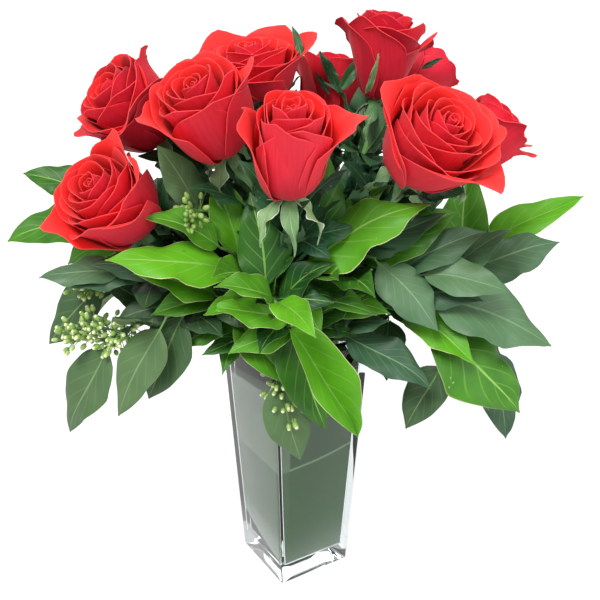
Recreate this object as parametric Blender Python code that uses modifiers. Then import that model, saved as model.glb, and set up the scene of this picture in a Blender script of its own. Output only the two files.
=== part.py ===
"""A dozen red roses and their greenery standing in a square, tapered glass vase.

Metres, +Z up. The origin is the centre of the vase's underside, and the vase's
sides are parallel to X and Y. Angles in the tables below are degrees about +Z
from +X, and pitches are degrees above the horizontal.
"""

import math

import bmesh
import bpy
from mathutils import Matrix, Vector
from mathutils.bvhtree import BVHTree

# --- Vase -------------------------------------------------------------------
VASE_HEIGHT = 0.229
VASE_FOOT_SIDE = 0.069
VASE_MOUTH_SIDE = 0.092
VASE_WALL = 0.005
VASE_FLOOR = 0.018
VASE_CORNER = 0.004
CAVITY_CORNER = 0.006
RIM_ROUNDING = 0.0012
LINING_THICKNESS = 0.0008
LINING_BELOW_RIM = 0.026
GAP = 0.0003
UP = Vector((0, 0, 1))
# The tables below are drawn for a vase this high and this wide at its mouth. A
# taller or wider vase carries its flowers and leaves up and out with it.
DRAWN_HEIGHT = 0.229
DRAWN_MOUTH_SIDE = 0.092

# --- Stems ------------------------------------------------------------------
ROSE_STEM_RADIUS = 0.0026
GREEN_STEM_RADIUS = 0.0015
STEM_SPACING = 0.0012
STEM_BEVEL = 1
STEM_FOOT_GAP = 0.0012
STEM_BEND_ABOVE_RIM = 0.004
# How upright a stem leaves the mouth, and how far its curve follows the
# directions at its two ends, as shares of its span above the mouth.
UPRIGHT = 0.6
LOW_PULL = 0.38
HIGH_PULL = 0.34
GREEN_STEM_RADII = (GREEN_STEM_RADIUS, GREEN_STEM_RADIUS * 0.7)
ROSE_STEM_STEPS = 5
GREEN_STEM_STEPS = 4
STALK_DEPTH = 0.0015

# --- Rose heads: azimuth, distance from the axis, height of the head's middle,
#     the direction and pitch its axis points in, its radius and its length.
ROSE_HEADS = (
    (168, 0.144, 0.358, 195, 48, 0.040, 0.066),
    (144, 0.129, 0.415, 150, 38, 0.035, 0.064),
    (187, 0.079, 0.423, 200, 58, 0.039, 0.066),
    (98, 0.062, 0.438, 140, 66, 0.047, 0.046),
    (237, 0.090, 0.412, 250, 76, 0.031, 0.078),
    (38, 0.101, 0.413, 20, 72, 0.031, 0.060),
    (357, 0.080, 0.450, 0, 82, 0.034, 0.068),
    (8, 0.142, 0.424, 0, 35, 0.025, 0.050),
    (302, 0.114, 0.406, 292, 52, 0.045, 0.066),
    (331, 0.152, 0.394, 335, 40, 0.027, 0.052),
    (84, 0.148, 0.372, 85, 45, 0.038, 0.064),
    (56, 0.152, 0.318, 50, 38, 0.036, 0.062),
)
HIP_RADIUS = 0.0062
HIP_LENGTH = 0.013
HIP_SIDES = 8
STEM_INTO_HIP = 0.0078
SEPALS = 5
SEPAL_LENGTH = 0.034
SEPAL_TURN = 0.3
SEPAL_DEPTH = 0.0039
SEPAL_ROOT_RADIUS = 0.0028
# A sepal's direction: outwards, back along the stem, and straight down.
SEPAL_SPREAD = 0.62
SEPAL_FOLD_BACK = 0.55
SEPAL_HANG = 0.45
BLOOM_SIDES = 10
# Outline of a rose head: height along its axis and radius, as shares of its size.
BLOOM_OUTLINE = (
    (0.00, 0.16), (0.10, 0.55), (0.32, 0.88), (0.60, 0.93),
    (0.82, 1.00), (0.90, 0.78), (0.84, 0.46), (0.98, 0.26),
)
FLARED_RINGS = (3, 4)
PETAL_LOBES = 5
LOBE_DEPTH = 0.09

# --- Greenery ---------------------------------------------------------------
LEAF_THICKNESS = 0.0009
PETIOLE_WIDTH = 0.0016
POINTED = 1.55
FIRST_SECTION = 0.6
LEAF_GAP_ON_STEM = 0.020
# Below its listed leaves each spray carries more, which fill the middle of the
# bunch where they find room: degrees aside from the spray's azimuth, and pitch.
FILLERS = ((75, 30), (-75, 30), (180, 45))
FILLER_LENGTH = 0.062
# Neither these nor the leaves of the roses grow lower than this above the rim.
BARE_ABOVE_RIM = 0.012
# Leaves on a rose's stem, where they find room: how far below the hip each
# grows, its length and pitch, and how far round the stem each is from the last.
ROSE_LEAF_DEPTHS = (0.045, 0.062, 0.079, 0.096, 0.113)
ROSE_LEAF_LENGTH = 0.050
ROSE_LEAF_PITCH = 12
ROSE_LEAF_TURN = 137.5
CLEARANCE = 0.0008
BERRY_RADIUS = 0.0028
BERRY_STEP = 0.0062
BERRY_TURN = 1.1
BERRY_ASIDE = 0.0022
BERRY_DROOP = 0.3
# Blade of each kind of leaf: width as a share of its length, bare stalk share,
# where it is widest, fold of its halves, droop in degrees along its length, and
# how many sections the blade is lofted through.
LEAF_KINDS = {
    "salal": (0.45, 0.10, 0.42, 0.22, 38, 4),
    "gum": (0.44, 0.10, 0.42, 0.14, 30, 4),
    "roundgum": (0.54, 0.16, 0.36, 0.10, 18, 4),
    "rose": (0.56, 0.14, 0.40, 0.14, 34, 3),
    "sepal": (0.24, 0.06, 0.22, 0.10, 50, 2),
}
# The way the arrangement faces, how far its leaves lean that way, and how far
# round a leaf grows (cosine of the angle) before it faces outwards instead.
FRONT = 238
LEAN = 0.7
BEHIND = -0.25
# Each spray: kind, then azimuth, distance and height of its tip, then its leaves
# from the tip down as (direction, pitch, length), then its strings of berries
# as (direction, pitch, length).
SPRAYS = (
    ("salal", 150, 0.150, 0.340, ((138, 19, 0.072), (154, -11, 0.102), (158, -26, 0.085)), ()),
    ("gum", 172, 0.140, 0.302, ((148, -1, 0.068), (160, -2, 0.068), (178, 32, 0.070)), ()),
    ("roundgum", 158, 0.148, 0.286, ((148, -45, 0.082), (120, -25, 0.075)), ((168, 10, 0.045),)),
    ("roundgum", 170, 0.152, 0.248, ((148, -62, 0.098),), ((150, 15, 0.058), (168, -5, 0.045))),
    ("roundgum", 184, 0.120, 0.272, ((155, -62, 0.092), (160, -65, 0.085), (170, -15, 0.060)), ()),
    ("salal", 204, 0.074, 0.304, ((170, 15, 0.104), (225, 35, 0.070)), ()),
    ("salal", 193, 0.077, 0.322, ((162, 30, 0.066), (100, 20, 0.070)), ()),
    ("salal", 222, 0.072, 0.292, ((82, 81, 0.078), (195, 12, 0.070)), ()),
    ("salal", 243, 0.060, 0.308, ((328, 29, 0.110), (264, -30, 0.054), (294, 12, 0.070)), ()),
    ("salal", 237, 0.083, 0.272, ((163, 46, 0.066), (140, 25, 0.060)), ()),
    ("salal", 231, 0.100, 0.297, ((268, -4, 0.056), (190, 20, 0.060)), ()),
    ("salal", 198, 0.075, 0.266, ((300, -41, 0.072), (175, -20, 0.060)), ()),
    ("salal", 232, 0.078, 0.272, ((314, -56, 0.114), (296, -60, 0.098)), ()),
    ("salal", 189, 0.077, 0.280, ((174, 27, 0.074), (178, 5, 0.072), (200, -2, 0.055)), ()),
    ("roundgum", 227, 0.077, 0.228, ((328, -76, 0.084),), ((300, -68, 0.045),)),
    ("gum", 289, 0.080, 0.312, ((300, -42, 0.074), (345, 15, 0.080)), ()),
    ("gum", 277, 0.060, 0.248, ((306, -24, 0.084), (300, 12, 0.070)), ()),
    ("roundgum", 308, 0.131, 0.224, ((158, -64, 0.070), (350, -35, 0.070)), ()),
    ("salal", 306, 0.112, 0.258, ((317, -43, 0.114), (290, -20, 0.075)), ()),
    ("gum", 304, 0.110, 0.280, ((325, -22, 0.114), (285, 5, 0.070)), ()),
    ("gum", 301, 0.108, 0.298, ((314, -4, 0.070), (330, 30, 0.080)), ()),
    ("gum", 328, 0.142, 0.283, ((330, 17, 0.080), (310, 40, 0.070)), ()),
    ("salal", 340, 0.160, 0.284, ((336, 28, 0.104), (5, 10, 0.085)), ()),
    ("salal", 334, 0.140, 0.279, ((2, 76, 0.092), (350, -20, 0.080)), ()),
    ("gum", 333, 0.178, 0.206, ((300, -80, 0.092), (325, -66, 0.095), (350, -50, 0.070)), ()),
    ("roundgum", 345, 0.150, 0.202, ((341, -61, 0.064), (20, -50, 0.070)), ()),
    ("salal", 262, 0.050, 0.318, (
        (240, 55, 0.085), (330, 45, 0.085), (215, 25, 0.075), (290, 15, 0.070)), ()),
    ("salal", 292, 0.062, 0.300, ((310, 55, 0.090), (270, 35, 0.080), (350, 30, 0.080)), ()),
    ("gum", 12, 0.135, 0.300, (
        (15, 5, 0.085), (350, 35, 0.080), (45, 25, 0.080), (10, -40, 0.080), (20, 60, 0.075)), ()),
    ("salal", 40, 0.115, 0.285, (
        (45, 10, 0.100), (20, -15, 0.090), (70, 30, 0.090), (45, -45, 0.090),
        (25, 40, 0.085), (60, 65, 0.080)), ()),
    ("gum", 68, 0.125, 0.300, (
        (70, 15, 0.090), (95, -10, 0.085), (50, 35, 0.080), (75, -55, 0.085),
        (100, 40, 0.080), (60, 5, 0.075)), ()),
    ("salal", 96, 0.110, 0.290, (
        (100, 12, 0.100), (75, -15, 0.090), (125, 20, 0.090), (95, -45, 0.090),
        (110, 55, 0.085), (60, 50, 0.080)), ()),
    ("roundgum", 126, 0.145, 0.275, (
        (130, -50, 0.090), (105, -30, 0.080), (150, -5, 0.080), (125, 35, 0.075)), ((125, -30, 0.050),)),
    ("roundgum", 176, 0.080, 0.345, ((150, 60, 0.060),), ((190, 20, 0.026),)),
)

# How a leaf may be turned or shortened until it lies clear of its neighbours:
# degrees sideways, degrees up, and its length.
WAYS_ASIDE = ((0, 1), (1, 0), (-1, 0), (0, -1), (0.7, 0.7), (-0.7, 0.7), (0.7, -0.7), (-0.7, -0.7))
NUDGES = [(0, 0, 1.0)] + [
    (side * step, lift * step, size)
    for size in (1.0, 0.88, 0.75)
    for step in (6, 12, 18, 26, 36, 48, 64)
    for side, lift in WAYS_ASIDE
]
# How far the middle of a stem may bow aside, in metres, for the same reason.
BOW_STEPS = (0.003, 0.006, 0.009, 0.013, 0.018, 0.024, 0.031)
BOWS = [0.0] + [side * step for step in BOW_STEPS for side in (1, -1)]


def clear_scene():
    for thing in list(bpy.data.objects):
        bpy.data.objects.remove(thing, do_unlink=True)


def collection(name):
    made = bpy.data.collections.new(name)
    bpy.context.scene.collection.children.link(made)
    return made


def material(name, colour, roughness, transmission=0.0):
    made = bpy.data.materials.new(name)
    made.use_nodes = True
    shader = made.node_tree.nodes["Principled BSDF"]
    shader.inputs["Base Color"].default_value = (*colour, 1)
    shader.inputs["Roughness"].default_value = roughness
    shader.inputs["Metallic"].default_value = 0.0
    shader.inputs["Transmission Weight"].default_value = transmission
    return made


def object_of(name, shape, home, finish=None, smooth=True):
    """An object of a bmesh, which is used up."""
    mesh = bpy.data.meshes.new(name)
    bmesh.ops.recalc_face_normals(shape, faces=shape.faces)
    shape.to_mesh(mesh)
    shape.free()
    if smooth:
        mesh.shade_smooth()
        mesh.set_sharp_from_angle(angle=math.radians(40))
    made = bpy.data.objects.new(name, mesh)
    home.objects.link(made)
    if finish:
        mesh.materials.append(finish)
    return made


def helper(made):
    """Marks an object as one that only shapes another."""
    made.hide_render = True
    made.display_type = "WIRE"
    return made


def combine(target, other, operation):
    modifier = target.modifiers.new(f"{operation.lower()}_{other.name}", "BOOLEAN")
    modifier.operation = operation
    modifier.object = other
    modifier.solver = "EXACT"


def direction(azimuth, pitch):
    a, p = math.radians(azimuth), math.radians(pitch)
    return Vector((math.cos(a) * math.cos(p), math.sin(a) * math.cos(p), math.sin(p)))


def polar(azimuth, radius, height):
    return direction(azimuth, 0) * radius + UP * height


def drawn(azimuth, distance, height):
    """A place from one of the tables, carried along by a vase of another size."""
    out = (VASE_MOUTH_SIDE - DRAWN_MOUTH_SIDE) / 2
    return polar(azimuth, distance + out, height + VASE_HEIGHT - DRAWN_HEIGHT)


def loft(rings, tip=None):
    """A closed bmesh through rings of as many points each, ending in a face or in one point."""
    shape = bmesh.new()
    loops = [[shape.verts.new(point) for point in ring] for ring in rings]
    count = len(loops[0])
    shape.faces.new(reversed(loops[0]))
    for low, high in zip(loops, loops[1:]):
        for i in range(count):
            j = (i + 1) % count
            shape.faces.new((low[i], low[j], high[j], high[i]))
    if tip is None:
        shape.faces.new(loops[-1])
    else:
        end = shape.verts.new(tip)
        for i in range(count):
            shape.faces.new((loops[-1][i], loops[-1][(i + 1) % count], end))
    return shape


def tube(points, start_radius, end_radius):
    """A tapering round stem through points, as a bmesh made from a bevelled curve."""
    curve = bpy.data.curves.new("stem_route", "CURVE")
    curve.dimensions = "3D"
    curve.bevel_depth = 1.0
    curve.bevel_resolution = STEM_BEVEL
    curve.use_fill_caps = True
    spline = curve.splines.new("POLY")
    spline.points.add(len(points) - 1)
    for i, point in enumerate(points):
        spline.points[i].co = (*point, 1)
        spline.points[i].radius = start_radius + (end_radius - start_radius) * i / (len(points) - 1)
    route = bpy.data.objects.new("stem_route", curve)
    bpy.context.scene.collection.objects.link(route)
    graph = bpy.context.evaluated_depsgraph_get()
    mesh = bpy.data.meshes.new_from_object(route.evaluated_get(graph))
    mesh.transform(route.matrix_world)
    shape = bmesh.new()
    shape.from_mesh(mesh)
    bmesh.ops.remove_doubles(shape, verts=shape.verts, dist=1e-6)
    bmesh.ops.recalc_face_normals(shape, faces=shape.faces)
    bpy.data.objects.remove(route)
    bpy.data.curves.remove(curve)
    bpy.data.meshes.remove(mesh)
    return shape


class Space:
    """What already stands in the arrangement, so that the next piece can be laid clear of it."""

    def __init__(self):
        self.taken = []

    def add(self, shape, owner=None):
        self.taken.append((owner, BVHTree.FromBMesh(shape)))

    def free(self, shape, owner=None):
        """Whether a shape, which is used up, crosses nothing but its owner's own pieces."""
        probe = BVHTree.FromBMesh(shape)
        shape.free()
        return not any(probe.overlap(tree) for who, tree in self.taken if owner is None or who != owner)


# --- Vase and its lining leaf ----------------------------------------------
def side_at(height):
    """Width of the vase's outside at a height."""
    return VASE_FOOT_SIDE + (VASE_MOUTH_SIDE - VASE_FOOT_SIDE) * height / VASE_HEIGHT


def frustum(low, high, inset, corner):
    """A four-sided cone between two heights, inset from the vase's outside, its upright edges rounded."""
    shape = bmesh.new()
    across = math.sqrt(2)
    bmesh.ops.create_cone(
        shape, cap_ends=True, segments=4, depth=high - low,
        radius1=(side_at(low) / 2 - inset) * across, radius2=(side_at(high) / 2 - inset) * across,
    )
    bmesh.ops.rotate(shape, verts=shape.verts, matrix=Matrix.Rotation(math.pi / 4, 3, "Z"))
    bmesh.ops.translate(shape, verts=shape.verts, vec=(0, 0, (low + high) / 2))
    upright = [e for e in shape.edges if abs(e.verts[0].co.z - e.verts[1].co.z) > (high - low) / 2]
    bmesh.ops.bevel(shape, geom=upright, offset=corner, segments=3, profile=0.5, affect="EDGES")
    return shape


def build_vase(home, helpers):
    glass = material("glass", (0.86, 0.90, 0.88), 0.03, transmission=0.9)
    vase = object_of("vase", frustum(0, VASE_HEIGHT, 0, VASE_CORNER), home, glass)
    over = VASE_HEIGHT + 0.02
    cavity = helper(object_of("vase_cavity", frustum(VASE_FLOOR, over, VASE_WALL, CAVITY_CORNER), helpers))
    combine(vase, cavity, "DIFFERENCE")
    rim = vase.modifiers.new("rounded_rim", "BEVEL")
    rim.width = RIM_ROUNDING
    rim.segments = 2
    rim.limit_method = "ANGLE"
    rim.angle_limit = math.radians(60)
    return vase


def build_lining(home, helpers):
    leaf = material("lining_leaf", (0.05, 0.13, 0.045), 0.45)
    low, high = VASE_FLOOR + RIM_ROUNDING + GAP, VASE_HEIGHT - LINING_BELOW_RIM
    inset = VASE_WALL + GAP
    lining = object_of("lining_leaf", frustum(low, high, inset, CAVITY_CORNER), home, leaf)
    inside = frustum(low - 0.01, high + 0.01, inset + LINING_THICKNESS, CAVITY_CORNER - LINING_THICKNESS)
    combine(lining, helper(object_of("lining_inside", inside, helpers)), "DIFFERENCE")
    return lining


def walls():
    """The faces of the vase and of its lining that stems and leaves keep clear of, open at both ends."""
    lining_top = VASE_HEIGHT - LINING_BELOW_RIM
    lining_inset = VASE_WALL + GAP + LINING_THICKNESS
    for high, inset in ((VASE_HEIGHT, 0), (VASE_HEIGHT, VASE_WALL), (lining_top, lining_inset)):
        wall = frustum(0, high, inset, VASE_CORNER)
        flat = [face for face in wall.faces if abs(face.normal.z) > 0.9]
        bmesh.ops.delete(wall, geom=flat, context="FACES_ONLY")
        yield wall


# --- Stems ------------------------------------------------------------------
def bezier(a, b, c, d, steps):
    for i in range(steps + 1):
        t = i / steps
        yield a * (1 - t) ** 3 + b * 3 * t * (1 - t) ** 2 + c * 3 * t * t * (1 - t) + d * t ** 3


def stem_route(slot, ring, tip, leaving, bow, steps):
    """Points from the floor, straight to the mouth, then curving to a tip reached along a direction."""
    low = polar(slot, ring[0], VASE_FLOOR + STEM_FOOT_GAP)
    high = polar(slot, ring[1], VASE_HEIGHT + STEM_BEND_ABOVE_RIM)
    span = (tip - high).length
    rising = ((high - low).normalized() + UP * UPRIGHT).normalized()
    aside = UP.cross(tip - high)
    aside = aside.normalized() * bow if aside.length > 1e-6 else aside
    first = high + rising * span * LOW_PULL + aside
    last = tip - leaving * span * HIGH_PULL + aside
    return [low, low.lerp(high, 0.5)] + list(bezier(high, first, last, tip, steps))


def settle_stem(slot, ring, tip, leaving, radii, steps, space):
    """The first route, bowed aside a little further each time, that lies clear of what stands already."""
    for bow in BOWS:
        points = stem_route(slot, ring, tip, leaving, bow, steps)
        if space.free(tube(points, radii[0] + CLEARANCE, radii[1] + CLEARANCE)):
            return points
    print("no clear route for the stem at", slot)
    return stem_route(slot, ring, tip, leaving, 0.0, steps)


def rings_of_stems():
    """Radii, at the floor and at the mouth, of the rose stems' ring and of the green stems' ring."""
    rose_foot = len(ROSE_HEADS) * (2 * ROSE_STEM_RADIUS + STEM_SPACING) / (2 * math.pi)
    lining = VASE_WALL + 2 * GAP + LINING_THICKNESS
    green_foot = side_at(VASE_FLOOR) / 2 - lining - GREEN_STEM_RADIUS - STEM_SPACING
    green_mouth = VASE_MOUTH_SIDE / 2 - lining - GREEN_STEM_RADIUS - STEM_SPACING
    return (rose_foot, rose_foot * green_mouth / green_foot), (green_foot, green_mouth)


def slots(azimuths):
    """Evenly spaced places round a ring, in the order of the pieces' own azimuths."""
    order = sorted(range(len(azimuths)), key=lambda i: azimuths[i] % 360)
    step = 360 / len(azimuths)
    drift = sum(azimuths[i] % 360 - k * step for k, i in enumerate(order)) / len(azimuths)
    return {i: drift + k * step for k, i in enumerate(order)}


# --- Leaves -----------------------------------------------------------------
def blade_width(along, stalk, widest):
    """Width of a leaf's blade as a share of its greatest, from 0 at the stalk's end to 0 at the tip."""
    u = max(0.0, (along - stalk) / (1 - stalk))
    fore, aft = widest, 1 - widest
    return (u / fore) ** (POINTED * fore) * ((1 - u) / aft) ** (POINTED * aft) if 0 < u < 1 else 0.0


def leaf(root, heading, facing, length, kind, swell=0.0):
    """A closed blade on its stalk: its midrib an arc about the heading, its upper side turned to facing."""
    share, stalk, widest, fold, droop, sections = LEAF_KINDS[kind]
    forward = heading.normalized()
    normal = (facing - forward * facing.dot(forward)).normalized()
    side = forward.cross(normal)
    bend = math.radians(droop)
    start = math.sin(bend / 2), math.cos(bend / 2)
    rings = []
    marks = [0.0, stalk] + [stalk + (1 - stalk) * (k + FIRST_SECTION) / sections for k in range(sections)]
    for along in marks + [1.0]:
        angle = bend * (0.5 - along)
        arc = forward * (start[0] - math.sin(angle)) + normal * (math.cos(angle) - start[1])
        centre = root + arc * length / bend
        up = normal * math.cos(angle) - forward * math.sin(angle)
        half = max(PETIOLE_WIDTH, share * length * blade_width(along, stalk, widest)) / 2 + swell
        thick = up * (max(LEAF_THICKNESS, PETIOLE_WIDTH * (1 - along / stalk)) / 2 + swell)
        lift = up * max(0.0, half - PETIOLE_WIDTH) * fold
        edges = centre + side * half + lift, centre - side * half + lift
        rings.append([edges[0], centre + thick, edges[1], centre - thick])
    return loft(rings[:-1], tip=centre)


def settle_leaf(root, azimuth, pitch, length, kind, owner, space):
    """The first way to lie, turned a little further each time, that is clear of what stands already."""
    for sideways, up, size in NUDGES:
        heading = direction(azimuth + sideways, pitch + up)
        if space.free(leaf(root, heading, facing_at(root), length * size, kind, CLEARANCE), owner):
            return leaf(root, heading, facing_at(root), length * size, kind)
    return None


def facing_at(root):
    """Where a leaf's upper side looks: up, and to the front of the arrangement or, behind it, outwards."""
    outwards = Vector((root.x, root.y, 0)).normalized()
    front = direction(FRONT, 0)
    return UP + (front if outwards.dot(front) > BEHIND else outwards) * LEAN


def route_spray(row, slot, ring, owner, space):
    """Points of a spray's stem, which the space then holds."""
    _, azimuth, distance, height, leaves, _ = row
    leaving = (direction(*leaves[0][:2]) + direction(azimuth, 20)).normalized()
    tip = drawn(azimuth, distance, height)
    points = settle_stem(slot, ring, tip, leaving, GREEN_STEM_RADII, GREEN_STEM_STEPS, space)
    stem = tube(points, *GREEN_STEM_RADII)
    space.add(stem, owner)
    stem.free()
    return points


def leaves_in_turn():
    """The first listed leaf of every spray, then every second one, and so on, and the fillers last."""
    for index in range(max(len(row[4]) for row in SPRAYS)):
        for i, row in enumerate(SPRAYS):
            if index < len(row[4]):
                yield i, index, row[4][index]
    for k, (aside, pitch) in enumerate(FILLERS):
        for i, row in enumerate(SPRAYS):
            yield i, len(row[4]) + k, (row[1] + aside, pitch, FILLER_LENGTH)


def grow_sprays(slots_taken, ring, space):
    """Each spray's route and its pieces: all stems first, then berries, then leaves from the tips down."""
    routes = [route_spray(row, slots_taken[i], ring, i, space) for i, row in enumerate(SPRAYS)]
    pieces = [[] for _ in SPRAYS]
    for i, (row, points, mine) in enumerate(zip(SPRAYS, routes, pieces)):
        for index, (towards, pitch, length) in enumerate(row[5]):
            root = along_from_tip(points, STALK_DEPTH + (index + 0.5) * LEAF_GAP_ON_STEM)
            mine += berry_string(root, direction(towards, pitch), length, i, space)
    for i, index, (towards, pitch, length) in leaves_in_turn():
        root = along_from_tip(routes[i], STALK_DEPTH + index * LEAF_GAP_ON_STEM)
        fills = index >= len(SPRAYS[i][4])
        if fills and root.z < VASE_HEIGHT + BARE_ABOVE_RIM:
            continue
        blade = settle_leaf(root, towards, pitch, length, SPRAYS[i][0], i, space)
        if blade:
            space.add(blade)
            pieces[i].append(blade)
        elif not fills:
            print("no clear place for leaf", index + 1, "of spray", i + 1)
    return routes, pieces


def build_sprays(home, helpers, finishes, ring, space):
    routes, pieces = grow_sprays(slots([row[1] for row in SPRAYS]), ring, space)
    for number, (row, points, mine) in enumerate(zip(SPRAYS, routes, pieces), 1):
        name = f"{row[0]}_spray_{number:02d}"
        spray = object_of(name, tube(points, *GREEN_STEM_RADII), home, finishes[row[0]])
        for index, shape in enumerate(mine):
            combine(spray, helper(object_of(f"{name}_piece_{index}", shape, helpers)), "UNION")


def along_from_tip(points, back):
    """The point so far back along a route from its end."""
    for far, near in zip(reversed(points), list(reversed(points))[1:]):
        span = (far - near).length
        if back <= span:
            return far.lerp(near, back / span)
        back -= span
    return points[0]


def berry_string(root, heading, length, owner, space):
    """A thin drooping stalk with seed capsules to its left and right."""
    middle = root + heading * length * 0.5
    points = [root, middle, middle + heading * length * 0.2 - UP * length * BERRY_DROOP]
    pieces = [tube(points, GREEN_STEM_RADIUS * 0.6, GREEN_STEM_RADIUS * 0.4)]
    side = UP.cross(heading).normalized()
    count = int(length / BERRY_STEP)
    for k in range(1, count + 1):
        centre = along_from_tip(points, (count - k) * BERRY_STEP) + side * BERRY_ASIDE * (-1) ** k
        berry = bmesh.new()
        bmesh.ops.create_icosphere(berry, subdivisions=1, radius=BERRY_RADIUS)
        turned = Matrix.Rotation(k * BERRY_TURN, 3, heading)
        bmesh.ops.transform(berry, verts=berry.verts, matrix=Matrix.Translation(centre) @ turned.to_4x4())
        pieces.append(berry)
    for piece in pieces:
        space.add(piece, owner)
    return pieces


# --- Roses ------------------------------------------------------------------
def around(axis):
    """Two directions square to an axis and to each other."""
    side = axis.cross(UP)
    side = side.normalized() if side.length > 1e-6 else Vector((1, 0, 0))
    return side, axis.cross(side)


def bloom_shape(base, axis, radius, length, swell=0.0):
    """The closed body of petals of one rose, round below and lobed like petals at its lip."""
    side, up = around(axis)
    rings = []
    for index, (height, reach) in enumerate(BLOOM_OUTLINE):
        ring = []
        for k in range(BLOOM_SIDES):
            turn = 2 * math.pi * k / BLOOM_SIDES
            lobe = 1 + LOBE_DEPTH * math.cos(PETAL_LOBES * turn) * (index in FLARED_RINGS)
            out = side * math.cos(turn) + up * math.sin(turn)
            ring.append(base + axis * (length * height) + out * (radius * reach * lobe + swell))
        rings.append(ring)
    return loft(rings, tip=base + axis * length)


def hip_shape(top, axis):
    """The green cup under a rose's petals, widening from the stem to its top."""
    hip = bmesh.new()
    bmesh.ops.create_cone(
        hip, cap_ends=True, segments=HIP_SIDES, depth=HIP_LENGTH,
        radius1=ROSE_STEM_RADIUS, radius2=HIP_RADIUS,
    )
    turned = axis.to_track_quat("Z", "Y").to_matrix().to_4x4()
    middle = Matrix.Translation(top - axis * HIP_LENGTH / 2)
    bmesh.ops.transform(hip, verts=hip.verts, matrix=middle @ turned)
    return hip


def sepals(top, axis):
    """The narrow leaves that hang from a rose's hip, each a closed blade."""
    side, up = around(axis)
    for k in range(SEPALS):
        turn = 2 * math.pi * (k + SEPAL_TURN) / SEPALS
        out = side * math.cos(turn) + up * math.sin(turn)
        heading = (out * SEPAL_SPREAD - axis * SEPAL_FOLD_BACK - UP * SEPAL_HANG).normalized()
        root = top - axis * SEPAL_DEPTH + out * SEPAL_ROOT_RADIUS
        yield leaf(root, heading, out + axis, SEPAL_LENGTH, "sepal")


def lay_rose(number, head, slot, ring, home, finishes, space):
    """Makes a rose's head, and returns its stem's route and the pieces that grow on it."""
    azimuth, distance, height, towards, pitch, radius, length = head
    axis = direction(towards, pitch)
    base = drawn(azimuth, distance, height) - axis * length / 2
    bloom = bloom_shape(base, axis, radius, length)
    space.add(bloom)
    object_of(f"rose_{number:02d}_bloom", bloom, home, finishes["petals"])
    hip_top = base - axis * GAP
    pieces = [hip_shape(hip_top, axis)] + list(sepals(hip_top, axis))
    radii = ROSE_STEM_RADIUS, ROSE_STEM_RADIUS
    points = settle_stem(slot, ring, hip_top - axis * STEM_INTO_HIP, axis, radii, ROSE_STEM_STEPS, space)
    stem = tube(points, *radii)
    for piece in [stem] + pieces:
        space.add(piece, rose_owner(number))
    stem.free()
    return points, pieces


def rose_owner(number):
    return f"rose {number}"


def grow_rose_leaves(number, points, pieces, space):
    """Adds the leaves that find room along a rose's stem to its other pieces."""
    for k, depth in enumerate(ROSE_LEAF_DEPTHS):
        root = along_from_tip(points, depth)
        if root.z < VASE_HEIGHT + BARE_ABOVE_RIM:
            continue
        turn = (number + k) * ROSE_LEAF_TURN
        blade = settle_leaf(root, turn, ROSE_LEAF_PITCH, ROSE_LEAF_LENGTH, "rose", rose_owner(number), space)
        if blade:
            space.add(blade)
            pieces.append(blade)


def build_rose_stem(number, points, pieces, home, helpers, finishes):
    name = f"rose_{number:02d}_stem"
    body = object_of(name, tube(points, ROSE_STEM_RADIUS, ROSE_STEM_RADIUS), home, finishes["stem"])
    for index, shape in enumerate(pieces):
        combine(body, helper(object_of(f"{name}_piece_{index}", shape, helpers)), "UNION")


def main():
    clear_scene()
    home, helpers = collection("roses_in_a_vase"), collection("cutters_and_joined_pieces")
    finishes = {
        "petals": material("rose_petals", (0.62, 0.012, 0.018), 0.55),
        "stem": material("rose_stem", (0.10, 0.22, 0.05), 0.5),
        "salal": material("salal_leaf", (0.10, 0.30, 0.03), 0.35),
        "gum": material("gum_leaf", (0.11, 0.20, 0.11), 0.55),
        "roundgum": material("round_gum_leaf", (0.12, 0.20, 0.09), 0.55),
    }
    space = Space()
    build_vase(home, helpers)
    build_lining(home, helpers)
    for wall in walls():
        space.add(wall)
        wall.free()
    rose_ring, green_ring = rings_of_stems()
    places = slots([head[0] for head in ROSE_HEADS])
    laid = []
    for number, head in enumerate(ROSE_HEADS, 1):
        laid.append(lay_rose(number, head, places[number - 1], rose_ring, home, finishes, space))
    build_sprays(home, helpers, finishes, green_ring, space)
    for number, (points, pieces) in enumerate(laid, 1):
        grow_rose_leaves(number, points, pieces, space)
        build_rose_stem(number, points, pieces, home, helpers, finishes)


main()
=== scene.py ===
# %% [markdown]
# # A dozen red roses in a square glass vase
# The arrangement is a bunch of long-stemmed roses with broad-leaved greenery,
# standing in a tapered glass vase that a dark leaf lines from the inside.
# Its solid frame, with every stem, bloom and leaf in place, is loaded first, and
# each later step dresses one part of it, so that what is seen lies where the
# solids do.

# %% Load the frame
import math

import bpy
import numpy as np
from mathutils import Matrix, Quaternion, Vector
from mathutils.kdtree import KDTree


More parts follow.
